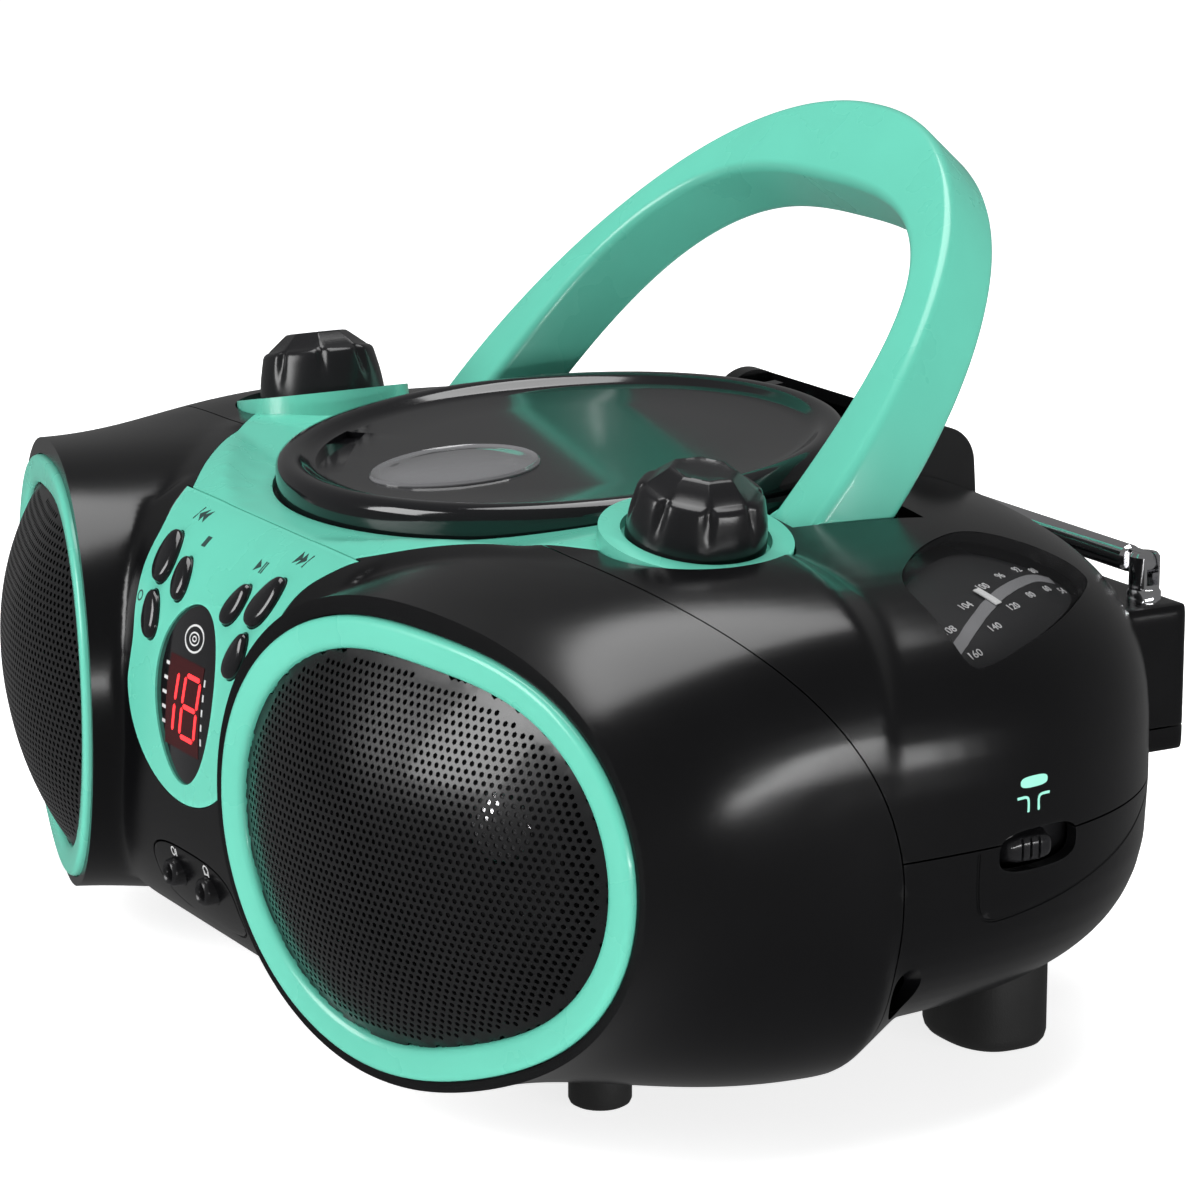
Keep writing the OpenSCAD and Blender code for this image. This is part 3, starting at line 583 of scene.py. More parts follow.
def hoop(cx, cy, rx, ry, w, count=32):
    turns = np.linspace(0, 2 * math.pi, count + 1)
    at = lambda t, k: (cx + (rx + k) * math.cos(t), cy + (ry + k) * math.sin(t))
    return [[at(a, 0), at(a, w), at(b, w), at(b, 0)] for a, b in zip(turns, turns[1:])]


def digit(cx, cy, h, lit, w=0.9):
    """Seven slanted bars: top, upper right, lower right, foot, lower left, upper left, middle."""
    half, slant = h * 0.26, 0.12
    ends = {"a": ((-1, 2), (1, 2)), "b": ((1, 2), (1, 0)), "c": ((1, 0), (1, -2)), "d": ((-1, -2), (1, -2)),
            "e": ((-1, 0), (-1, -2)), "f": ((-1, 2), (-1, 0)), "g": ((-1, 0), (1, 0))}
    bars = []
    for key in lit:
        a, b = (Vector((p[0] * half, p[1] * h / 4)) for p in ends[key])
        along = (b - a).normalized()
        a, b, out = a + along * 0.45, b - along * 0.45, Vector((-along.y, along.x)) * w / 2
        inset = along * w / 2
        corners = [a, a + inset + out, b - inset + out, b, b - inset - out, a + inset - out]
        bars.append([(cx + p.x + slant * p.y, cy + p.y) for p in corners])
    return bars


led_back = moulded("led_filter", (0.035, 0.003, 0.004), 0.12, 0.01, 1.0, 0.1)
led_red = moulded("led_red", (0.8, 0.02, 0.02), 0.3, 0.02, 1.0, 0.1)
led_red.node_tree.nodes["Principled BSDF"].inputs["Emission Color"].default_value = (1.0, 0.03, 0.04, 1)
led_red.node_tree.nodes["Principled BSDF"].inputs["Emission Strength"].default_value = 1.6
ink_grey = moulded("grey_ink", (0.55, 0.55, 0.55), 0.5, 0.03, 0.4, 0.15)
stamp("led_block", [bar(-9.4, 64.2, 8.4, 85.2)], on_panel, -0.40, 0.12, led_back, "case", "gloss_black", 6)
eighteen = digit(-8.4, 74.7, 14.5, "bc", 1.1) + digit(3.0, 74.7, 14.5, "abcdefg", 1.1)
stamp("led_digits", eighteen, on_panel, -0.30, 0.1, led_red, "case",
      "gloss_black")
marks = hoop(0.4, 90.2, 4.4, 2.7, 0.45) + hoop(0.4, 90.2, 2.2, 1.2, 0.35) + hoop(0.4, 90.2, 0.8, 0.4, 0.3, 16)
for k in range(5):
    rise = 3.4 * k
    marks += [bar(-11.6 + 0.25 * abs(k - 2), 68.6 + rise, -8.2, 69.4 + rise),
              bar(9.2, 67.6 + rise, 9.9, 69.2 + rise)]
marks += [bar(-8.1, 68.6, -7.8, 82.9)]
stamp("display_marks", marks, on_panel, -0.40, 0.08, ink_grey, "case", "gloss_black")

# ---------------------------------------------------------------------------
# Player buttons: six loose egg-shaped keys of gloss ABS, each crowned, on a stem over a switch.
key_black = moulded("gloss_black_key", (0.008, 0.008, 0.009), 0.14, 0.02, 0.6, 0.08, coat=0.3)
for name, (x, z, scale) in BUTTONS.items():
    levels = [(-4.6, 0), (0.2, 0), (0.9, -0.25), (1.3, -0.8), (1.6, -1.7), (1.75, -2.9)]
    rings = [[on_button(x, z) @ Vector((u, v, h)) for u, v in button_outline(x, scale, g)] for h, g in levels]
    n = len(rings[0])
    points = [p for ring in rings for p in ring] + [on_button(x, z) @ Vector((0, 0, 1.8))]
    spans = len(rings) - 1
    faces = walls(spans, n) + cone_over(len(points) - 1, spans * n, n)
    key = piece(name + "_key", points, faces + [tuple(range(n))[::-1]])
    fit(key, key_black, name + "_button", "gloss_black", name + "_button")

ink_dark = moulded("dark_ink", (0.02, 0.05, 0.045), 0.5, 0.03, 0.4, 0.15)
arrow = lambda cx, cz, s, d=1: [(cx - d * s, cz - s), (cx + d * s, cz), (cx - d * s, cz + s)]
legends = [arrow(-25.9, 112.2, 1.1, -1), arrow(-23.9, 112.2, 1.1, -1), bar(-28.0, 111.1, -27.5, 113.3)]
legends += [arrow(25.5, 112.2, 1.1), arrow(27.5, 112.2, 1.1), bar(29.0, 111.1, 29.5, 113.3)]
legends += [bar(-15.2, 107.6, -13.2, 109.6), arrow(13.6, 108.6, 1.1),
            bar(15.2, 107.5, 15.7, 109.7), bar(16.1, 107.5, 16.6, 109.7)]
legends += hoop(-31.0, 93.6, 0.9, 0.9, 0.35, 20) + hoop(30.6, 93.6, 0.5, 0.9, 0.35, 20)


def on_fascia(x, z, h):
    hit, normal = skin_point((x, -200, z), Vector((0, 1, 0)))
    return hit + normal * h


stamp("key_legends", legends, on_fascia, 0.04, 0.06, ink_dark, "case", "mint_trim")

# ---------------------------------------------------------------------------
# Jack panel: a small satin black plate low on the nose with two 3.5 mm sockets in ringed collars.
jack_plate = block(superellipse(21.8, 8.8, 3, 96), -4, 6, ON_JACKS, "jack_panel")
carve(jack_plate, twin(outer_form), how="INTERSECT")
edge_round(jack_plate, 0.5)
for side in (-1, 1):
    carve(jack_plate, drum(3.5, 70, 120, Matrix.Translation((side * 8.8, 0, 33)) @ FRONT_ON, 48))
fit(jack_plate, case_black, "case", "shell_black", "jack_panel")
socket_black = moulded("socket_black", (0.012, 0.012, 0.013), 0.25, 0.03, 0.4, 0.1)
nickel = moulded("nickel_plate", (0.62, 0.60, 0.57), 0.22, 0.03, 0.3, 0.05, metal=1.0)


def turned(name, profile, place, count=64, closed=True):
    """A turned piece: the profile's (radius, height) points swept round the place's Z."""
    m, points = len(profile), []
    for i in range(count):
        t = 2 * math.pi * i / count
        points += [place @ Vector((r * math.cos(t), r * math.sin(t), h)) for r, h in profile]
    last = m if closed else m - 1
    faces = [(i * m + k, ((i + 1) % count) * m + k, ((i + 1) % count) * m + (k + 1) % m, i * m + (k + 1) % m)
             for i in range(count) for k in range(last)]
    obj = piece(name, points, faces)
    bm = bmesh.new()
    bm.from_mesh(obj.data)
    bmesh.ops.remove_doubles(bm, verts=bm.verts, dist=1e-6)
    bmesh.ops.dissolve_degenerate(bm, edges=bm.edges, dist=1e-7)
    bmesh.ops.recalc_face_normals(bm, faces=bm.faces)
    bm.to_mesh(obj.data)
    bm.free()
    return obj


for side, label in ((-1, "left"), (1, "right")):
    mouth = Matrix.Translation((side * 8.8, 0, 33)) @ FRONT_ON
    collar = turned("jack_collar_" + label, [(1.85, 88), (1.85, 102.2), (2.1, 102.7), (2.6, 103.0),
                                             (3.1, 102.6), (3.35, 101.8), (3.35, 88)], mouth)
    fit(collar, socket_black, "case", "chrome", *(["jack_sockets"] if side == 1 else []))
    sleeve = turned("jack_sleeve_" + label, [(1.3, 86), (1.3, 99), (1.8, 99), (1.8, 86)], mouth, 40)
    fit(sleeve, nickel, "case", "chrome")
aux_icon = hoop(-8.8, 38.1, 0.8, 0.8, 0.35, 20) + [bar(-7.4, 37.2, -7.0, 39)]
headphone_icon = hoop(8.8, 38.0, 1.1, 0.9, 0.35, 20) + [bar(7.5, 36.6, 8.1, 37.8), bar(9.5, 36.6, 10.1, 37.8)]
stamp("jack_legends", aux_icon + headphone_icon, on_fascia, 0.03, 0.06, ink_grey, "case", "shell_black")

# ---------------------------------------------------------------------------
# Speakers: a mint ring snaps over the rim of a domed, perforated and black-painted steel grille.
# Behind it a 70 mm driver has a pulp cone, a rolled surround and a bright metal dust cap.
GRILLE_RISE, PITCH, HOLE = 13.0, 1.95, 0.62
grille_paint = moulded("grille_paint", (0.006, 0.006, 0.0065), 0.28, 0.10, 0.25, 0.15, coat=0.2)
pulp = moulded("pulp_cone", (0.012, 0.012, 0.013), 0.8, 0.6, 0.8, 0.25)
foam = moulded("surround_rubber", (0.008, 0.008, 0.008), 0.45, 0.1, 0.5, 0.1)
bright_cap = moulded("dust_cap_metal", (0.72, 0.72, 0.74), 0.16, 0.05, 0.6, 0.05, metal=1.0)


def dome(u, v, lift=0.0):
    k = min(1.0, math.hypot(u, v) / (egg_r(math.atan2(v, u)) - 7.7))
    return Vector((u, v, GRILLE_RISE * (1 - k ** 2.2) + lift))


for hand, label in ((MIRROR, "left"), (Matrix.Identity(4), "right")):
    place = hand @ ON_SPEAKER
    band = [(-0.1, -3.3), (-0.1, 0.5), (-0.35, 1.15), (-1.0, 1.6), (-1.8, 1.75), (-5.6, 1.5), (-6.8, 1.1),
            (-7.35, 0.4), (-7.5, -0.6), (-7.5, -3.3)]
    turns = [2 * math.pi * i / 180 for i in range(180)]
    points = [place @ Vector(((egg_r(t) + g) * math.cos(t), (egg_r(t) + g) * math.sin(t), h))
              for t in turns for g, h in band]
    m = len(band)
    faces = [(i * m + k, ((i + 1) % 180) * m + k, ((i + 1) % 180) * m + (k + 1) % m, i * m + (k + 1) % m)
             for i in range(180) for k in range(m)]
    ring = piece("speaker_ring_" + label, points, faces)
    fit(ring, mint, "case", "mint_trim", "speaker_ring_" + label, angle=50)

    bm = bmesh.new()
    row = PITCH * math.sqrt(3) / 2
    side_len = PITCH / math.sqrt(3)
    corners = {}

    def corner(u, v):
        key = (round(u / 0.2), round(v / 0.2))
        if key not in corners:
            corners[key] = bm.verts.new(place @ dome(u, v) * MM)
        return corners[key]

    for j in range(-36, 37):
        for i in range(-36, 37):
            cu, cv = (i + 0.5 * (j % 2)) * PITCH, j * row
            if math.hypot(cu, cv) > egg_r(math.atan2(cv, cu)) - 7.3:
                continue
            outer = [corner(cu + side_len * math.cos(a), cv + side_len * math.sin(a))
                     for a in (math.radians(30 + 60 * k) for k in range(6))]
            if math.hypot(cu, cv) > egg_r(math.atan2(cv, cu)) - 9.6:
                bm.faces.new(outer)
                continue
            inner = [bm.verts.new(place @ dome(cu + HOLE * math.cos(a), cv + HOLE * math.sin(a)) * MM)
                     for a in (math.radians(30 + 60 * k) for k in range(6))]
            for k in range(6):
                bm.faces.new((outer[k], outer[(k + 1) % 6], inner[(k + 1) % 6], inner[k]))
    bmesh.ops.recalc_face_normals(bm, faces=bm.faces)
    mesh = bpy.data.meshes.new("speaker_grille_" + label)
    bm.to_mesh(mesh)
    bm.free()
    grille = bpy.data.objects.new("speaker_grille_" + label, mesh)
    bpy.context.scene.collection.objects.link(grille)
    thick = grille.modifiers.new("thick", "SOLIDIFY")
    thick.thickness, thick.offset = 0.55 * MM, -1
    settle(grille)
    fit(grille, grille_paint, "case", "grille_steel", "speaker_grille_" + label, angle=50)

    cone = turned("speaker_cone_" + label, [
        (9.0, -25), (12, -26.5), (14, -25), (29, -15.2), (30.5, -15.4), (30.5, -16.4), (14, -27), (9, -29)],
        place, 96)
    fit(cone, pulp, "case", "cone_paper", "speaker_cone_" + label)
    surround = turned("speaker_surround_" + label, [
        (30.2, -15.8), (30.8, -14), (32, -12.6), (33.4, -12.6), (34.4, -14), (34.8, -15.2), (39.6, -15.2),
        (39.6, -13.1), (40, -13), (40, -16), (34.2, -16), (30.2, -16.6)], place, 96)
    fit(surround, foam, "case", "basket_steel", "speaker_basket_" + label)
    cap = turned("dust_cap_" + label, [
        (0, -18.4), (3, -18.7), (6, -19.8), (9, -21.9), (11, -24.2), (12, -25.9), (12, -26.6), (0, -26.6)],
        place, 64)
    fit(cap, bright_cap, "case", "basket_steel")

# ---------------------------------------------------------------------------
# CD lid: a gloss black dish with a raised rim, an oval window over the disc and a finger scoop at
# the front. It hinges at the back in a half-round cowl.
gloss_black = moulded("gloss_black_lid", (0.007, 0.007, 0.008), 0.11, 0.015, 0.7, 0.06, coat=0.3, wear=0.1)
LID_PROFILE = [(0, 2.6), (57, 2.6), (61.4, 0.6), (62, -1.3), (66.8, -1.3), (67, -0.9), (67, 4.4), (66.7, 5.6),
               (65.9, 6.6), (64.7, 7.2), (63.4, 7.3), (62.0, 7.15), (60.8, 6.6), (59.6, 5.7), (58.2, 5.15),
               (56, 4.9), (40, 4.8), (0, 4.8)]
lid = turned("cd_lid", LID_PROFILE, ON_DECK, 192)
WINDOW_X, WINDOW_V = 2.0, -29.5
window_outline = [(WINDOW_X + 17.5 * math.cos(t) * (1 + 0.1 * math.sin(t)), WINDOW_V + 20.5 * math.sin(t))
                  for t in np.linspace(0, 2 * math.pi, 97)[:-1]]
for side in (-1, 1):
    barrel = ON_DECK @ Matrix.Translation((side * 27, 77, -6)) @ Matrix.Rotation(math.radians(90), 4, "Y")
    leaf = block([(57, 2.6), (57, -1.4), (72.8, -1.4), (72.8, -6), (77, -6), (77, 2.6)],
                 side * 27 - 2, side * 27 + 2, ON_DECK @ SIDE_ON)
    carve(lid, leaf, drum(4.2, -2, 2, barrel, 48), how="UNION")
lid_pin = ON_DECK @ Matrix.Translation((0, 77, -6)) @ Matrix.Rotation(math.radians(90), 4, "Y")
carve(lid, block(window_outline, -5, 20, ON_DECK), drum(1.5, -50, 50, lid_pin, 40))
scoop_mid = [Vector((54.5 * math.cos(t), 54.5 * math.sin(t)))
             for t in np.linspace(math.radians(-146), math.radians(-104), 25)]
scoop = [tuple(p * 1.055) for p in scoop_mid]
scoop += [tuple(scoop_mid[i] * (0.96 - 0.05 * math.sin(math.pi * i / 24))) for i in reversed(range(25))]
carve(lid, block(scoop, 3.4, 20, ON_DECK))
fit(lid, gloss_black, "cd_lid", "gloss_black", "cd_lid", angle=32)

window_clear = moulded("smoked_clear", (0.24, 0.24, 0.25), 0.06, 0.01, 1.0, 0.03, coat=1.0, alpha=0.72)
levels = [(3.0, 0), (5.1, 0), (5.7, -0.5), (5.3, -1.3), (5.25, -2.0), (5.9, -5), (6.3, -9), (6.5, -13)]
centre = Vector((WINDOW_X, WINDOW_V, 0))
points = []
for h, g in levels:
    points += [ON_DECK @ Vector((x, y, h)) for x, y in grown(window_outline, g - 0.05)]
n = len(window_outline)
points += [ON_DECK @ (centre + Vector((0, 0, 6.55)))]
spans = len(levels) - 1
faces = walls(spans, n) + cone_over(len(points) - 1, spans * n, n) + [tuple(range(n))[::-1]]
fit(piece("lid_window", points, faces), window_clear, "cd_lid", "clear_window", "lid_window")


def on_lid(x, v, h):
    return ON_DECK @ Vector((x, v, 4.83 + h))


ticks = [bar(38 + 2.4 * k, -42.5 + 2.3 * k, 39.2 + 2.4 * k, -41.4 + 2.3 * k) for k in range(6)]
ticks += hoop(33.5, -44.5, 1.2, 1.2, 0.4, 20)
stamp("lid_marks", ticks, on_lid, 0.03, 0.06, ink_grey, "cd_lid", "gloss_black")

# the cowl stays as it is in the frame and gets the case's finish
for node in ("hinge_cowl", "battery_door"):
    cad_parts[node].data.materials.clear()
    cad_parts[node].data.materials.append(case_black)

# ---------------------------------------------------------------------------
# Handle: one hollow mint moulding bent to an arch, square in section with soft corners. Its two
# feet turn on pins in slots beside the CD lid.
def arch_point(t, half, reach, n):
    c, s = math.cos(t), math.sin(t)
    return Vector((half * math.copysign(abs(c) ** (2 / n), c), reach * abs(s) ** (2 / n)))


ON_HANDLE = Matrix.Translation((0, 14.8, 113)) @ Matrix.Rotation(math.radians(48), 4, "X")
section = []
for cx, cy, start in ((1, 1, 0), (-1, 1, 90), (-1, -1, 180), (1, -1, 270)):
    for a in range(0, 91, 18):
        section.append((cx, cy, math.cos(math.radians(start + a)), math.sin(math.radians(start + a))))
STEPS, SOFT = 160, 2.6
points = []
for i in range(STEPS + 1):
    t = math.pi * i / STEPS
    out_p, in_p = arch_point(t, 88, 110, 2.1), arch_point(t, 71, 87, 3.0)
    mid, across = (out_p + in_p) / 2, (out_p - in_p)
    half_w, unit = across.length / 2, across.normalized()
    for cx, cy, ca, sa in section:
        u = cx * (half_w - SOFT) + ca * SOFT
        w = cy * (9 - SOFT) + sa * SOFT
        p = mid + unit * u
        points.append(ON_HANDLE @ Vector((p.x, p.y, w)))
m = len(section)
faces = walls(STEPS, m)
faces += [tuple(range(m))[::-1], tuple(range(STEPS * m, (STEPS + 1) * m))]
handle = piece("carry_handle", points, faces)
for side in (-1, 1):
    spin = Matrix.Translation((side * 79.5, 14.8, 113)) @ Matrix.Rotation(math.radians(90), 4, "Y")
    pin = drum(3, min(side * 8, side * 16.5), max(side * 8, side * 16.5), spin, 32)
    carve(handle, drum(9, -8.5, 8.5, spin, 64), pin, how="UNION")
fit(handle, mint, "handle", "mint_trim", "handle", angle=40)

# ---------------------------------------------------------------------------
# Knobs: satin black, with eight fluted grips round the skirt and an eight-sided bevelled cap.
knob_black = moulded("knob_black", (0.009, 0.009, 0.010), 0.24, 0.05, 0.4, 0.08, wear=0.15)
KNOB_LEVELS = [(-0.4, 15.2, 0, 0), (-0.2, 15.5, 0, 0), (2.0, 15.45, 0, 0), (4.5, 15.2, 0.15, 0),
               (6.5, 14.9, 0.7, 0), (9.0, 14.4, 1.25, 0.1), (10.8, 14.0, 1.4, 0.2), (11.5, 13.7, 1.4, 0.3),
               (12.0, 13.1, 1.2, 0.5), (12.3, 12.2, 0.5, 0.9), (12.5, 11.6, 0, 1), (14.2, 9.6, 0, 1),
               (15.8, 7.7, 0, 1), (16.2, 7.1, 0, 1), (16.3, 6.3, 0, 0.9), (16.05, 5.6, 0, 0.8),
               (16.0, 2.5, 0, 0.3)]
for hand, label in ((MIRROR, "volume_knob"), (Matrix.Identity(4), "tuning_knob")):
    place, count, points = hand @ ON_KNOB, 192, []
    for h, r, flute, flat in KNOB_LEVELS:
        for i in range(count):
            t = 2 * math.pi * i / count
            near = (t % (math.pi / 4)) - math.pi / 8
            octagon = math.cos(math.pi / 8) / math.cos((t + math.pi / 8) % (math.pi / 4) - math.pi / 8) * 1.04
            radius = r * (1 + flat * (octagon - 1)) - flute * math.exp(-(near / 0.085) ** 2)
            points.append(place @ Vector((radius * math.cos(t), radius * math.sin(t), h)))
    points.append(place @ Vector((0, 0, 16.0)))
    spans = len(KNOB_LEVELS) - 1
    faces = walls(spans, count) + cone_over(len(points) - 1, spans * count, count)
    knob = piece(label, points, faces + [tuple(range(count))[::-1]])
    fit(knob, knob_black, label, "knob_black", label, angle=28)

# ---------------------------------------------------------------------------
# Tuning dial: a smoked window, flush with the case, over a dark scale plate with a pale band, two
# rows of numbers and a white pointer that rides on a cord.
glass_smoke = moulded("smoked_window", (0.02, 0.02, 0.022), 0.06, 0.01, 1.0, 0.03, coat=0.6, alpha=0.14)
dial_under = twin(inner_form)
carve(dial_glass_blank, block(dial_outline, -20, 30, ON_DIAL), how="INTERSECT")
carve(dial_glass_blank, dial_under)
fit(dial_glass_blank, glass_smoke, "case", "smoke_window", "dial_window")


def on_dial(u, v, h):
    ray = -(ON_DIAL.to_3x3() @ Vector((0, 0, 1)))
    hit, normal = skin_point(ON_DIAL @ Vector((u, v, 60)), ray.normalized())
    return hit + normal * h


def filled(outline, steps=10):
    mid = sum((Vector(p) for p in outline), Vector((0, 0))) / len(outline)
    rings = [[tuple(mid.lerp(Vector(p), k / steps)) for p in outline] for k in range(1, steps + 1)]
    n = len(outline)
    shapes = [[tuple(mid), rings[0][k], rings[0][(k + 1) % n]] for k in range(n)]
    return shapes + [[a[k], b[k], b[(k + 1) % n], a[(k + 1) % n]]
                     for a, b in zip(rings, rings[1:]) for k in range(n)]


scale_dark = moulded("scale_plate", (0.010, 0.010, 0.011), 0.4, 0.05, 0.4, 0.1)
scale_pale = moulded("scale_band", (0.26, 0.26, 0.27), 0.4, 0.05, 0.4, 0.1)
scale_ink = moulded("scale_ink", (0.75, 0.75, 0.76), 0.5, 0.03, 0.4, 0.1)
stamp("dial_scale", filled(grown(dial_outline, -0.6)), on_dial, -5.3, 0.5, scale_dark, "case", "deck_plastic")
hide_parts("dial_plate")
band_mid = spline([(12.5, -25.5), (7, -12), (2.6, 2), (0.6, 14), (0.2, 24), (2.4, 30)], 8)


def ribbon(line, half):
    rails = []
    for i, p in enumerate(line):
        ahead = (line[min(i + 1, len(line) - 1)] - line[max(i - 1, 0)]).normalized()
        out = Vector((-ahead.y, ahead.x)) * half
        rails.append((tuple(p + out), tuple(p - out)))
    return [[a[0], a[1], b[1], b[0]] for a, b in zip(rails, rails[1:])]


stamp("dial_band", ribbon(band_mid, 1.5), on_dial, -4.9, 0.15, scale_pale, "case", "ivory_plastic")


def figures(text, size, cx, cy, turn):
    """The filled shapes of a number, centred on a point and turned."""
    curve = bpy.data.curves.new("figures", "FONT")
    curve.body, curve.size, curve.resolution_u = text, size, 3
    curve.align_x, curve.align_y = "CENTER", "CENTER"
    holder = bpy.data.objects.new("figures", curve)
    bpy.context.scene.collection.objects.link(holder)
    bpy.context.view_layer.update()
    mesh = bpy.data.meshes.new_from_object(holder.evaluated_get(bpy.context.evaluated_depsgraph_get()))
    c, s = math.cos(turn), math.sin(turn)
    spots = [(cx + c * v.co.x - s * v.co.y, cy + s * v.co.x + c * v.co.y) for v in mesh.vertices]
    shapes = [[spots[i] for i in poly.vertices] for poly in mesh.polygons]
    bpy.data.objects.remove(holder, do_unlink=True)
    bpy.data.meshes.remove(mesh)
    return shapes


numbers = []
FM_FIGURES, AM_FIGURES = ("108", "104", "100", "96", "92", "88"), ("160", "140", "120", "80", "60", "54")
for k, (high, low) in enumerate(zip(FM_FIGURES, AM_FIGURES)):
    p = band_mid[3 + 7 * k]
    numbers += figures(high, 3.0, p.x - 4.2, p.y, math.radians(90))
    numbers += figures(low, 3.0, p.x + 4.6, p.y, math.radians(90))
stamp("dial_numbers", numbers, on_dial, -4.9, 0.12, scale_ink, "case", "ivory_plastic")

pointer_white = moulded("pointer_white", (0.85, 0.85, 0.85), 0.35, 0.05, 0.5, 0.05)
needle = [[(-1.6, -1.2), (4.8, -1.2), (4.8, 1.2), (-1.6, 1.2)]]
stamp("dial_needle", needle, on_dial, -4.5, 0.25, pointer_white, "dial_pointer", "ivory_plastic", 3)
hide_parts("dial_pointer")

# ---------------------------------------------------------------------------
# Slide switches: a ribbed black thumb-piece in a pill-shaped recess on each side. The right-hand
# one has a mint pill and two mint lines printed above it.
switch_black = moulded("switch_black", (0.010, 0.010, 0.011), 0.15, 0.03, 0.4, 0.08, wear=0.2)
mint_ink = moulded("mint_ink", (0.30, 0.80, 0.62), 0.45, 0.03, 0.4, 0.08)
for sign, node in ((1, "band_switch"), (-1, "function_switch")):
    low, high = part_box(node)
    thumb_y = (low.y + high.y) / 2 / MM
    levels = [(141.6, 0.6), (146.4, 0.6), (147.4, 0), (149.6, -0.25), (150.3, -0.8), (150.7, -1.7)]
    rings = []
    for x, g in levels:
        rings.append([(sign * x, thumb_y + u, PILL_Z + w) for u, w in superellipse(6.2 + g, 3.1 + g, 3.4, 48)])
    n = 48
    points = [p for ring in rings for p in ring]
    faces = walls(len(rings) - 1, n)
    thumb = piece(node + "_thumb", points, faces + [tuple(range(n))[::-1], tuple(range(5 * n, 6 * n))])
    for k in (-1, 0, 1):
        near, far = sorted((sign * 149.9, sign * 155))
        slot_y = thumb_y + 2.2 * k
        carve(thumb, brick((near, slot_y - 0.35, 50), (far, slot_y + 0.35, 70)))
    fit(thumb, switch_black, node, "shell_black", node, angle=40)
    bed_outline = [(PILL_Y + x, PILL_Z + y) for x, y in superellipse(13, 6, 3.2, 64)]
    bed = block(bed_outline, *sorted((sign * 139.2, sign * 141.2)), SIDE_ON, node + "_bed")
    fit(bed, switch_black, "case", "shell_black")
side_marks = [superellipse(3.9, 1.25, 3, 32)]
side_marks = [[(27 + x, 76.2 + y) for x, y in side_marks[0]]]
stamp("band_pill", side_marks, on_side(1), 0.03, 0.08, mint_ink, "case", "mint_trim")
lines = ribbon(spline([(22.2, 73.0), (24.6, 73.0), (25.4, 72.2), (25.4, 69.6)], 4), 0.3)
lines += ribbon(spline([(31.6, 73.0), (29.2, 73.0), (28.4, 72.2), (28.4, 69.6)], 4), 0.3)
stamp("band_lines", lines, on_side(1), 0.03, 0.08, mint_ink, "case", "mint_trim")

# ---------------------------------------------------------------------------
# Telescopic aerial: three chromed brass tubes, one inside the next, on a turning post with a
# forked head. It lies along the back edge when it is stowed.
chrome = moulded("chromed_brass", (0.80, 0.80, 0.82), 0.07, 0.01, 0.5, 0.03, metal=1.0)
POST = (85, 103, 92.5)
along_rod = Matrix.Translation((85, 103, 101.5)) @ Matrix.Rotation(math.radians(-90), 4, "Y")
post = turned("aerial_post", [(0, -2.2), (2.45, -2.2), (2.45, 0), (4.0, 0), (4.0, 2.4), (3.6, 3.0), (3.5, 3.4),
                              (3.6, 3.8), (3.6, 10.8), (3.0, 11.6), (0, 11.6)],
              Matrix.Translation(POST), 64)
carve(post, brick((80, 101.4, 96.9), (90, 104.6, 115)))
fit(post, chrome, "aerial_post", "chrome", "aerial_post")
outer_tube = turned("aerial_outer_tube", [(0, 5), (2.6, 5), (3.2, 5.8), (3.2, 160.2), (3.05, 161), (2.55, 161),
                                          (2.55, 8), (0, 8)], along_rod, 64)
eye = block(circle(2.6, 40), -1.45, 1.45, along_rod @ Matrix.Rotation(math.radians(90), 4, "X"))
neck = block([(-2.6, 0), (2.6, 0), (2.6, 6), (-2.6, 6)], -1.45, 1.45,
             along_rod @ Matrix(((1, 0, 0, 0), (0, 0, 1, 0), (0, 1, 0, 0), (0, 0, 0, 1))))
carve(outer_tube, eye, neck, how="UNION")
fit(outer_tube, chrome, "aerial_outer_tube", "chrome", "aerial_outer_tube")
middle_tube = turned("aerial_middle_tube", [(0, 10), (2.5, 10), (2.5, 163.4), (2.3, 164), (1.85, 164), (1.85, 13),
                                            (0, 13)], along_rod, 48)
fit(middle_tube, chrome, "aerial_middle_tube", "chrome", "aerial_middle_tube")
inner_rod = turned("aerial_inner_rod", [(0, 16), (1.8, 16), (1.8, 165), (2.6, 165.2), (3.0, 166), (3.0, 168.6),
                                        (2.4, 169.6), (1.2, 170), (0, 170)], along_rod, 48)
fit(inner_rod, chrome, "aerial_inner_rod", "chrome", "aerial_inner_rod")

# ---------------------------------------------------------------------------
# Feet: two round pads under the barrels and two deep rounded legs at the back, moulded in black.
foot_black = moulded("foot_rubber", (0.010, 0.010, 0.010), 0.55, 0.25, 0.4, 0.15)
foot_parts = []
for side in (-1, 1):
    under_barrel = Matrix.Translation((side * 95, -47.5, 0))
    foot_parts.append(turned("pad", [(0, 0.02), (5.8, 0.02), (6.6, 0.5), (7, 1.4), (7, 15), (0, 15)],
                             under_barrel, 48))
    points = []
    for h, g in ((0.02, -2.4), (0.5, -1.2), (1.6, -0.4), (3.2, 0), (33, 0)):
        points += [(side * 99 + x, 51 + y, h) for x, y in superellipse(15 + g, 12 + g, 2.6, 64)]
    faces = walls(4, 64)
    foot_parts.append(piece("leg", points, faces + [tuple(range(64))[::-1], tuple(range(256, 320))]))
feet = foot_parts[0]
carve(feet, *foot_parts[1:], how="UNION")
feet.name = "feet"
carve(feet, twin(outer_form))
fit(feet, foot_black, "case", "foot_rubber", "feet")

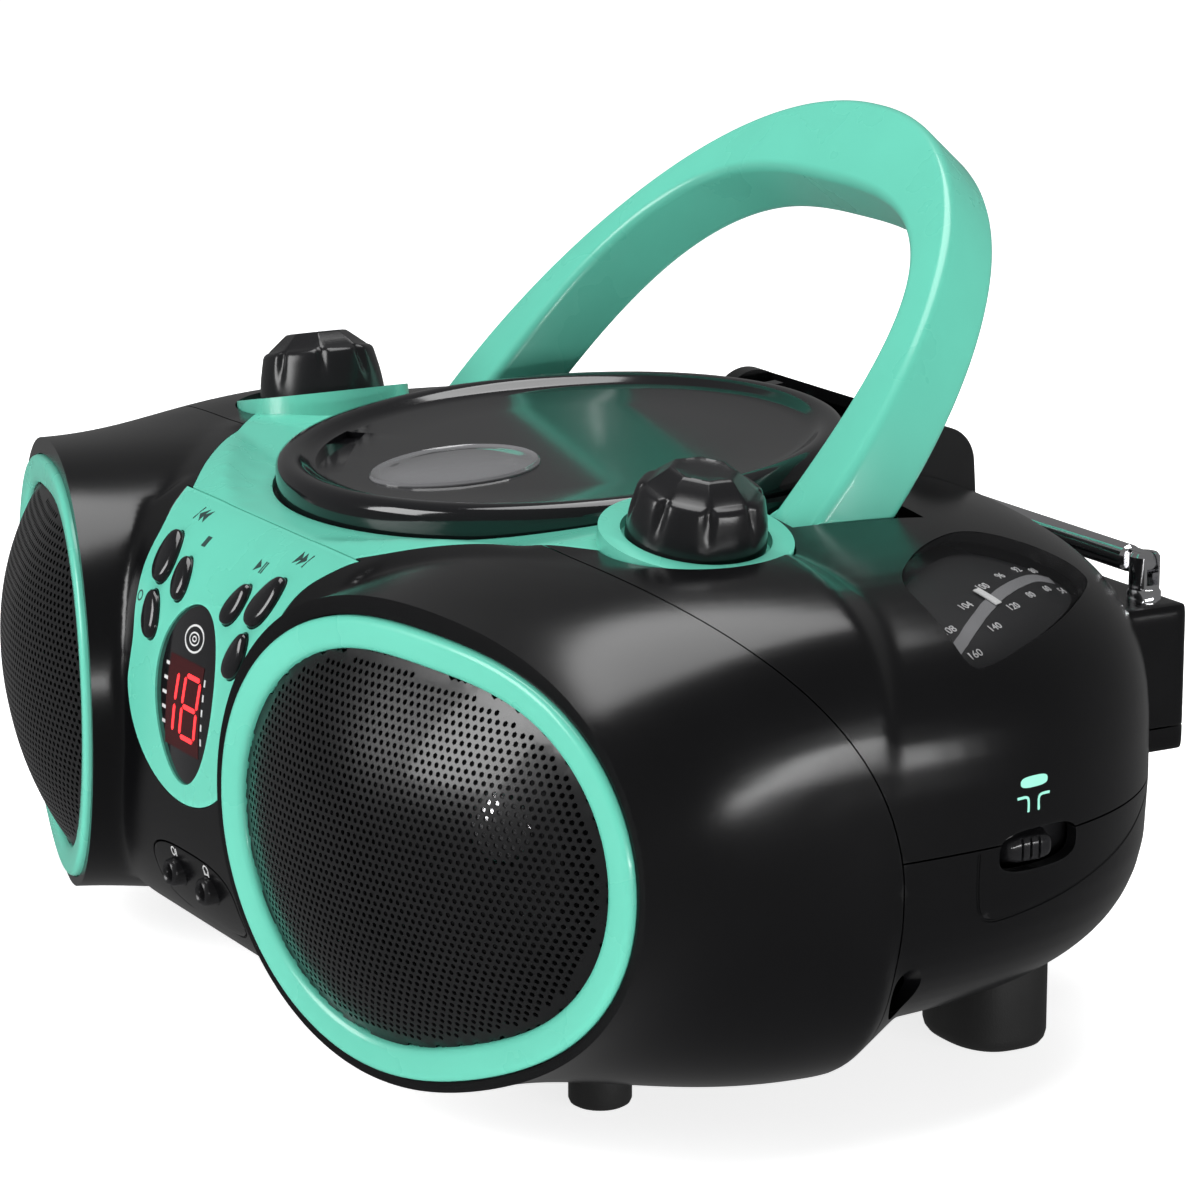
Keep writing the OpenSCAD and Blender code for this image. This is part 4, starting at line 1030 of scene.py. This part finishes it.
# ---------------------------------------------------------------------------
# Inner parts that show only with the lid, the battery door or the case open: moulded well, disc
# drive, circuit board, transformer, aerial rod and battery tray.
inner_finishes = {
    "cd_well": moulded("well_black", (0.012, 0.012, 0.013), 0.42, 0.2, 0.4, 0.1),
    "turntable": moulded("turntable_black", (0.02, 0.02, 0.022), 0.35, 0.1, 0.4, 0.1),
    "disc_clamp": moulded("clamp_black", (0.02, 0.02, 0.022), 0.3, 0.1, 0.4, 0.1),
    "cd_chassis": moulded("chassis_grey", (0.05, 0.05, 0.055), 0.5, 0.2, 0.5, 0.1),
    "laser_sled": moulded("sled_black", (0.015, 0.015, 0.017), 0.4, 0.1, 0.4, 0.1),
    "laser_lens": moulded("lens_blue", (0.12, 0.14, 0.40), 0.05, 0.01, 1.0, 0.05, coat=1.0),
    "guide_rods": nickel, "spindle_motor": nickel, "volume_control": nickel, "lid_hinge_pin": nickel,
    "speaker_magnet_left": moulded("ferrite", (0.03, 0.03, 0.032), 0.6, 0.4, 0.6, 0.2),
    "tuning_capacitor": moulded("capacitor_ivory", (0.62, 0.58, 0.48), 0.35, 0.1, 0.5, 0.05),
    "display_module": led_back,
    "main_board": moulded("board_green", (0.02, 0.12, 0.05), 0.3, 0.4, 1.2, 0.3, coat=0.3),
    "transformer": moulded("lamination_iron", (0.10, 0.095, 0.09), 0.5, 0.5, 0.8, 0.2, metal=0.6),
    "battery_tray": moulded("tray_black", (0.014, 0.014, 0.015), 0.45, 0.25, 0.4, 0.1),
    "ac_inlet": socket_black,
}
inner_finishes["speaker_magnet_right"] = inner_finishes["ferrite_aerial"] = inner_finishes["speaker_magnet_left"]
for node, finish in inner_finishes.items():
    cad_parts[node].data.materials.clear()
    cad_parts[node].data.materials.append(finish)

for leftover in (outer_form, inner_form):
    bpy.data.objects.remove(leftover, do_unlink=True)

# ---------------------------------------------------------------------------
# Studio: a pale floor, a large soft light overhead, a soft key from the front and a slim strip on
# the right for the long highlights down the barrels.
FAR, DROP = 6000, -0.2
floor = piece("floor", [(-FAR, -FAR, DROP), (FAR, -FAR, DROP), (FAR, FAR, DROP), (-FAR, FAR, DROP)],
              [(0, 1, 2, 3)])
pale = moulded("pale_floor", (0.86, 0.86, 0.86), 0.6, 0.0, 2.0, 0.01)
pale.node_tree.nodes["Principled BSDF"].inputs["Emission Color"].default_value = (1, 1, 1, 1)
pale.node_tree.nodes["Principled BSDF"].inputs["Emission Strength"].default_value = 0.8
floor.data.materials.append(pale)
floor.visible_glossy = False


def softbox(name, at, look, width, height, watts):
    light = bpy.data.lights.new(name, "AREA")
    light.shape, light.size, light.size_y, light.energy = "RECTANGLE", width, height, watts
    obj = bpy.data.objects.new(name, light)
    obj.location = at
    obj.rotation_euler = (Vector(look) - Vector(at)).to_track_quat("-Z", "Y").to_euler()
    bpy.context.scene.collection.objects.link(obj)


softbox("overhead", (-0.1, 0.2, 1.5), (0, 0, 0.1), 1.1, 1.1, 20)
softbox("front_key", (-0.3, -1.7, 0.9), (0, 0, 0.08), 0.8, 1.1, 24)
softbox("side_strip", (1.5, 0.15, 0.14), (0.1, -0.05, 0.08), 1.5, 0.10, 10)
world = bpy.data.worlds.new("studio")
world.use_nodes = True
world.node_tree.nodes["Background"].inputs["Color"].default_value = (1, 1, 1, 1)
world.node_tree.nodes["Background"].inputs["Strength"].default_value = 0.16
bpy.context.scene.world = world
bpy.context.scene.view_settings.view_transform = "Standard"

camera = bpy.data.cameras.new("camera")
camera.sensor_width, camera.lens = 36, 136.9
camera_obj = bpy.data.objects.new("camera", camera)
camera_obj.location = (0.91486, -0.51440, 0.34278)
camera_obj.rotation_euler = (math.radians(76.31), 0, math.radians(60.34))
bpy.context.scene.collection.objects.link(camera_obj)
bpy.context.scene.camera = camera_obj
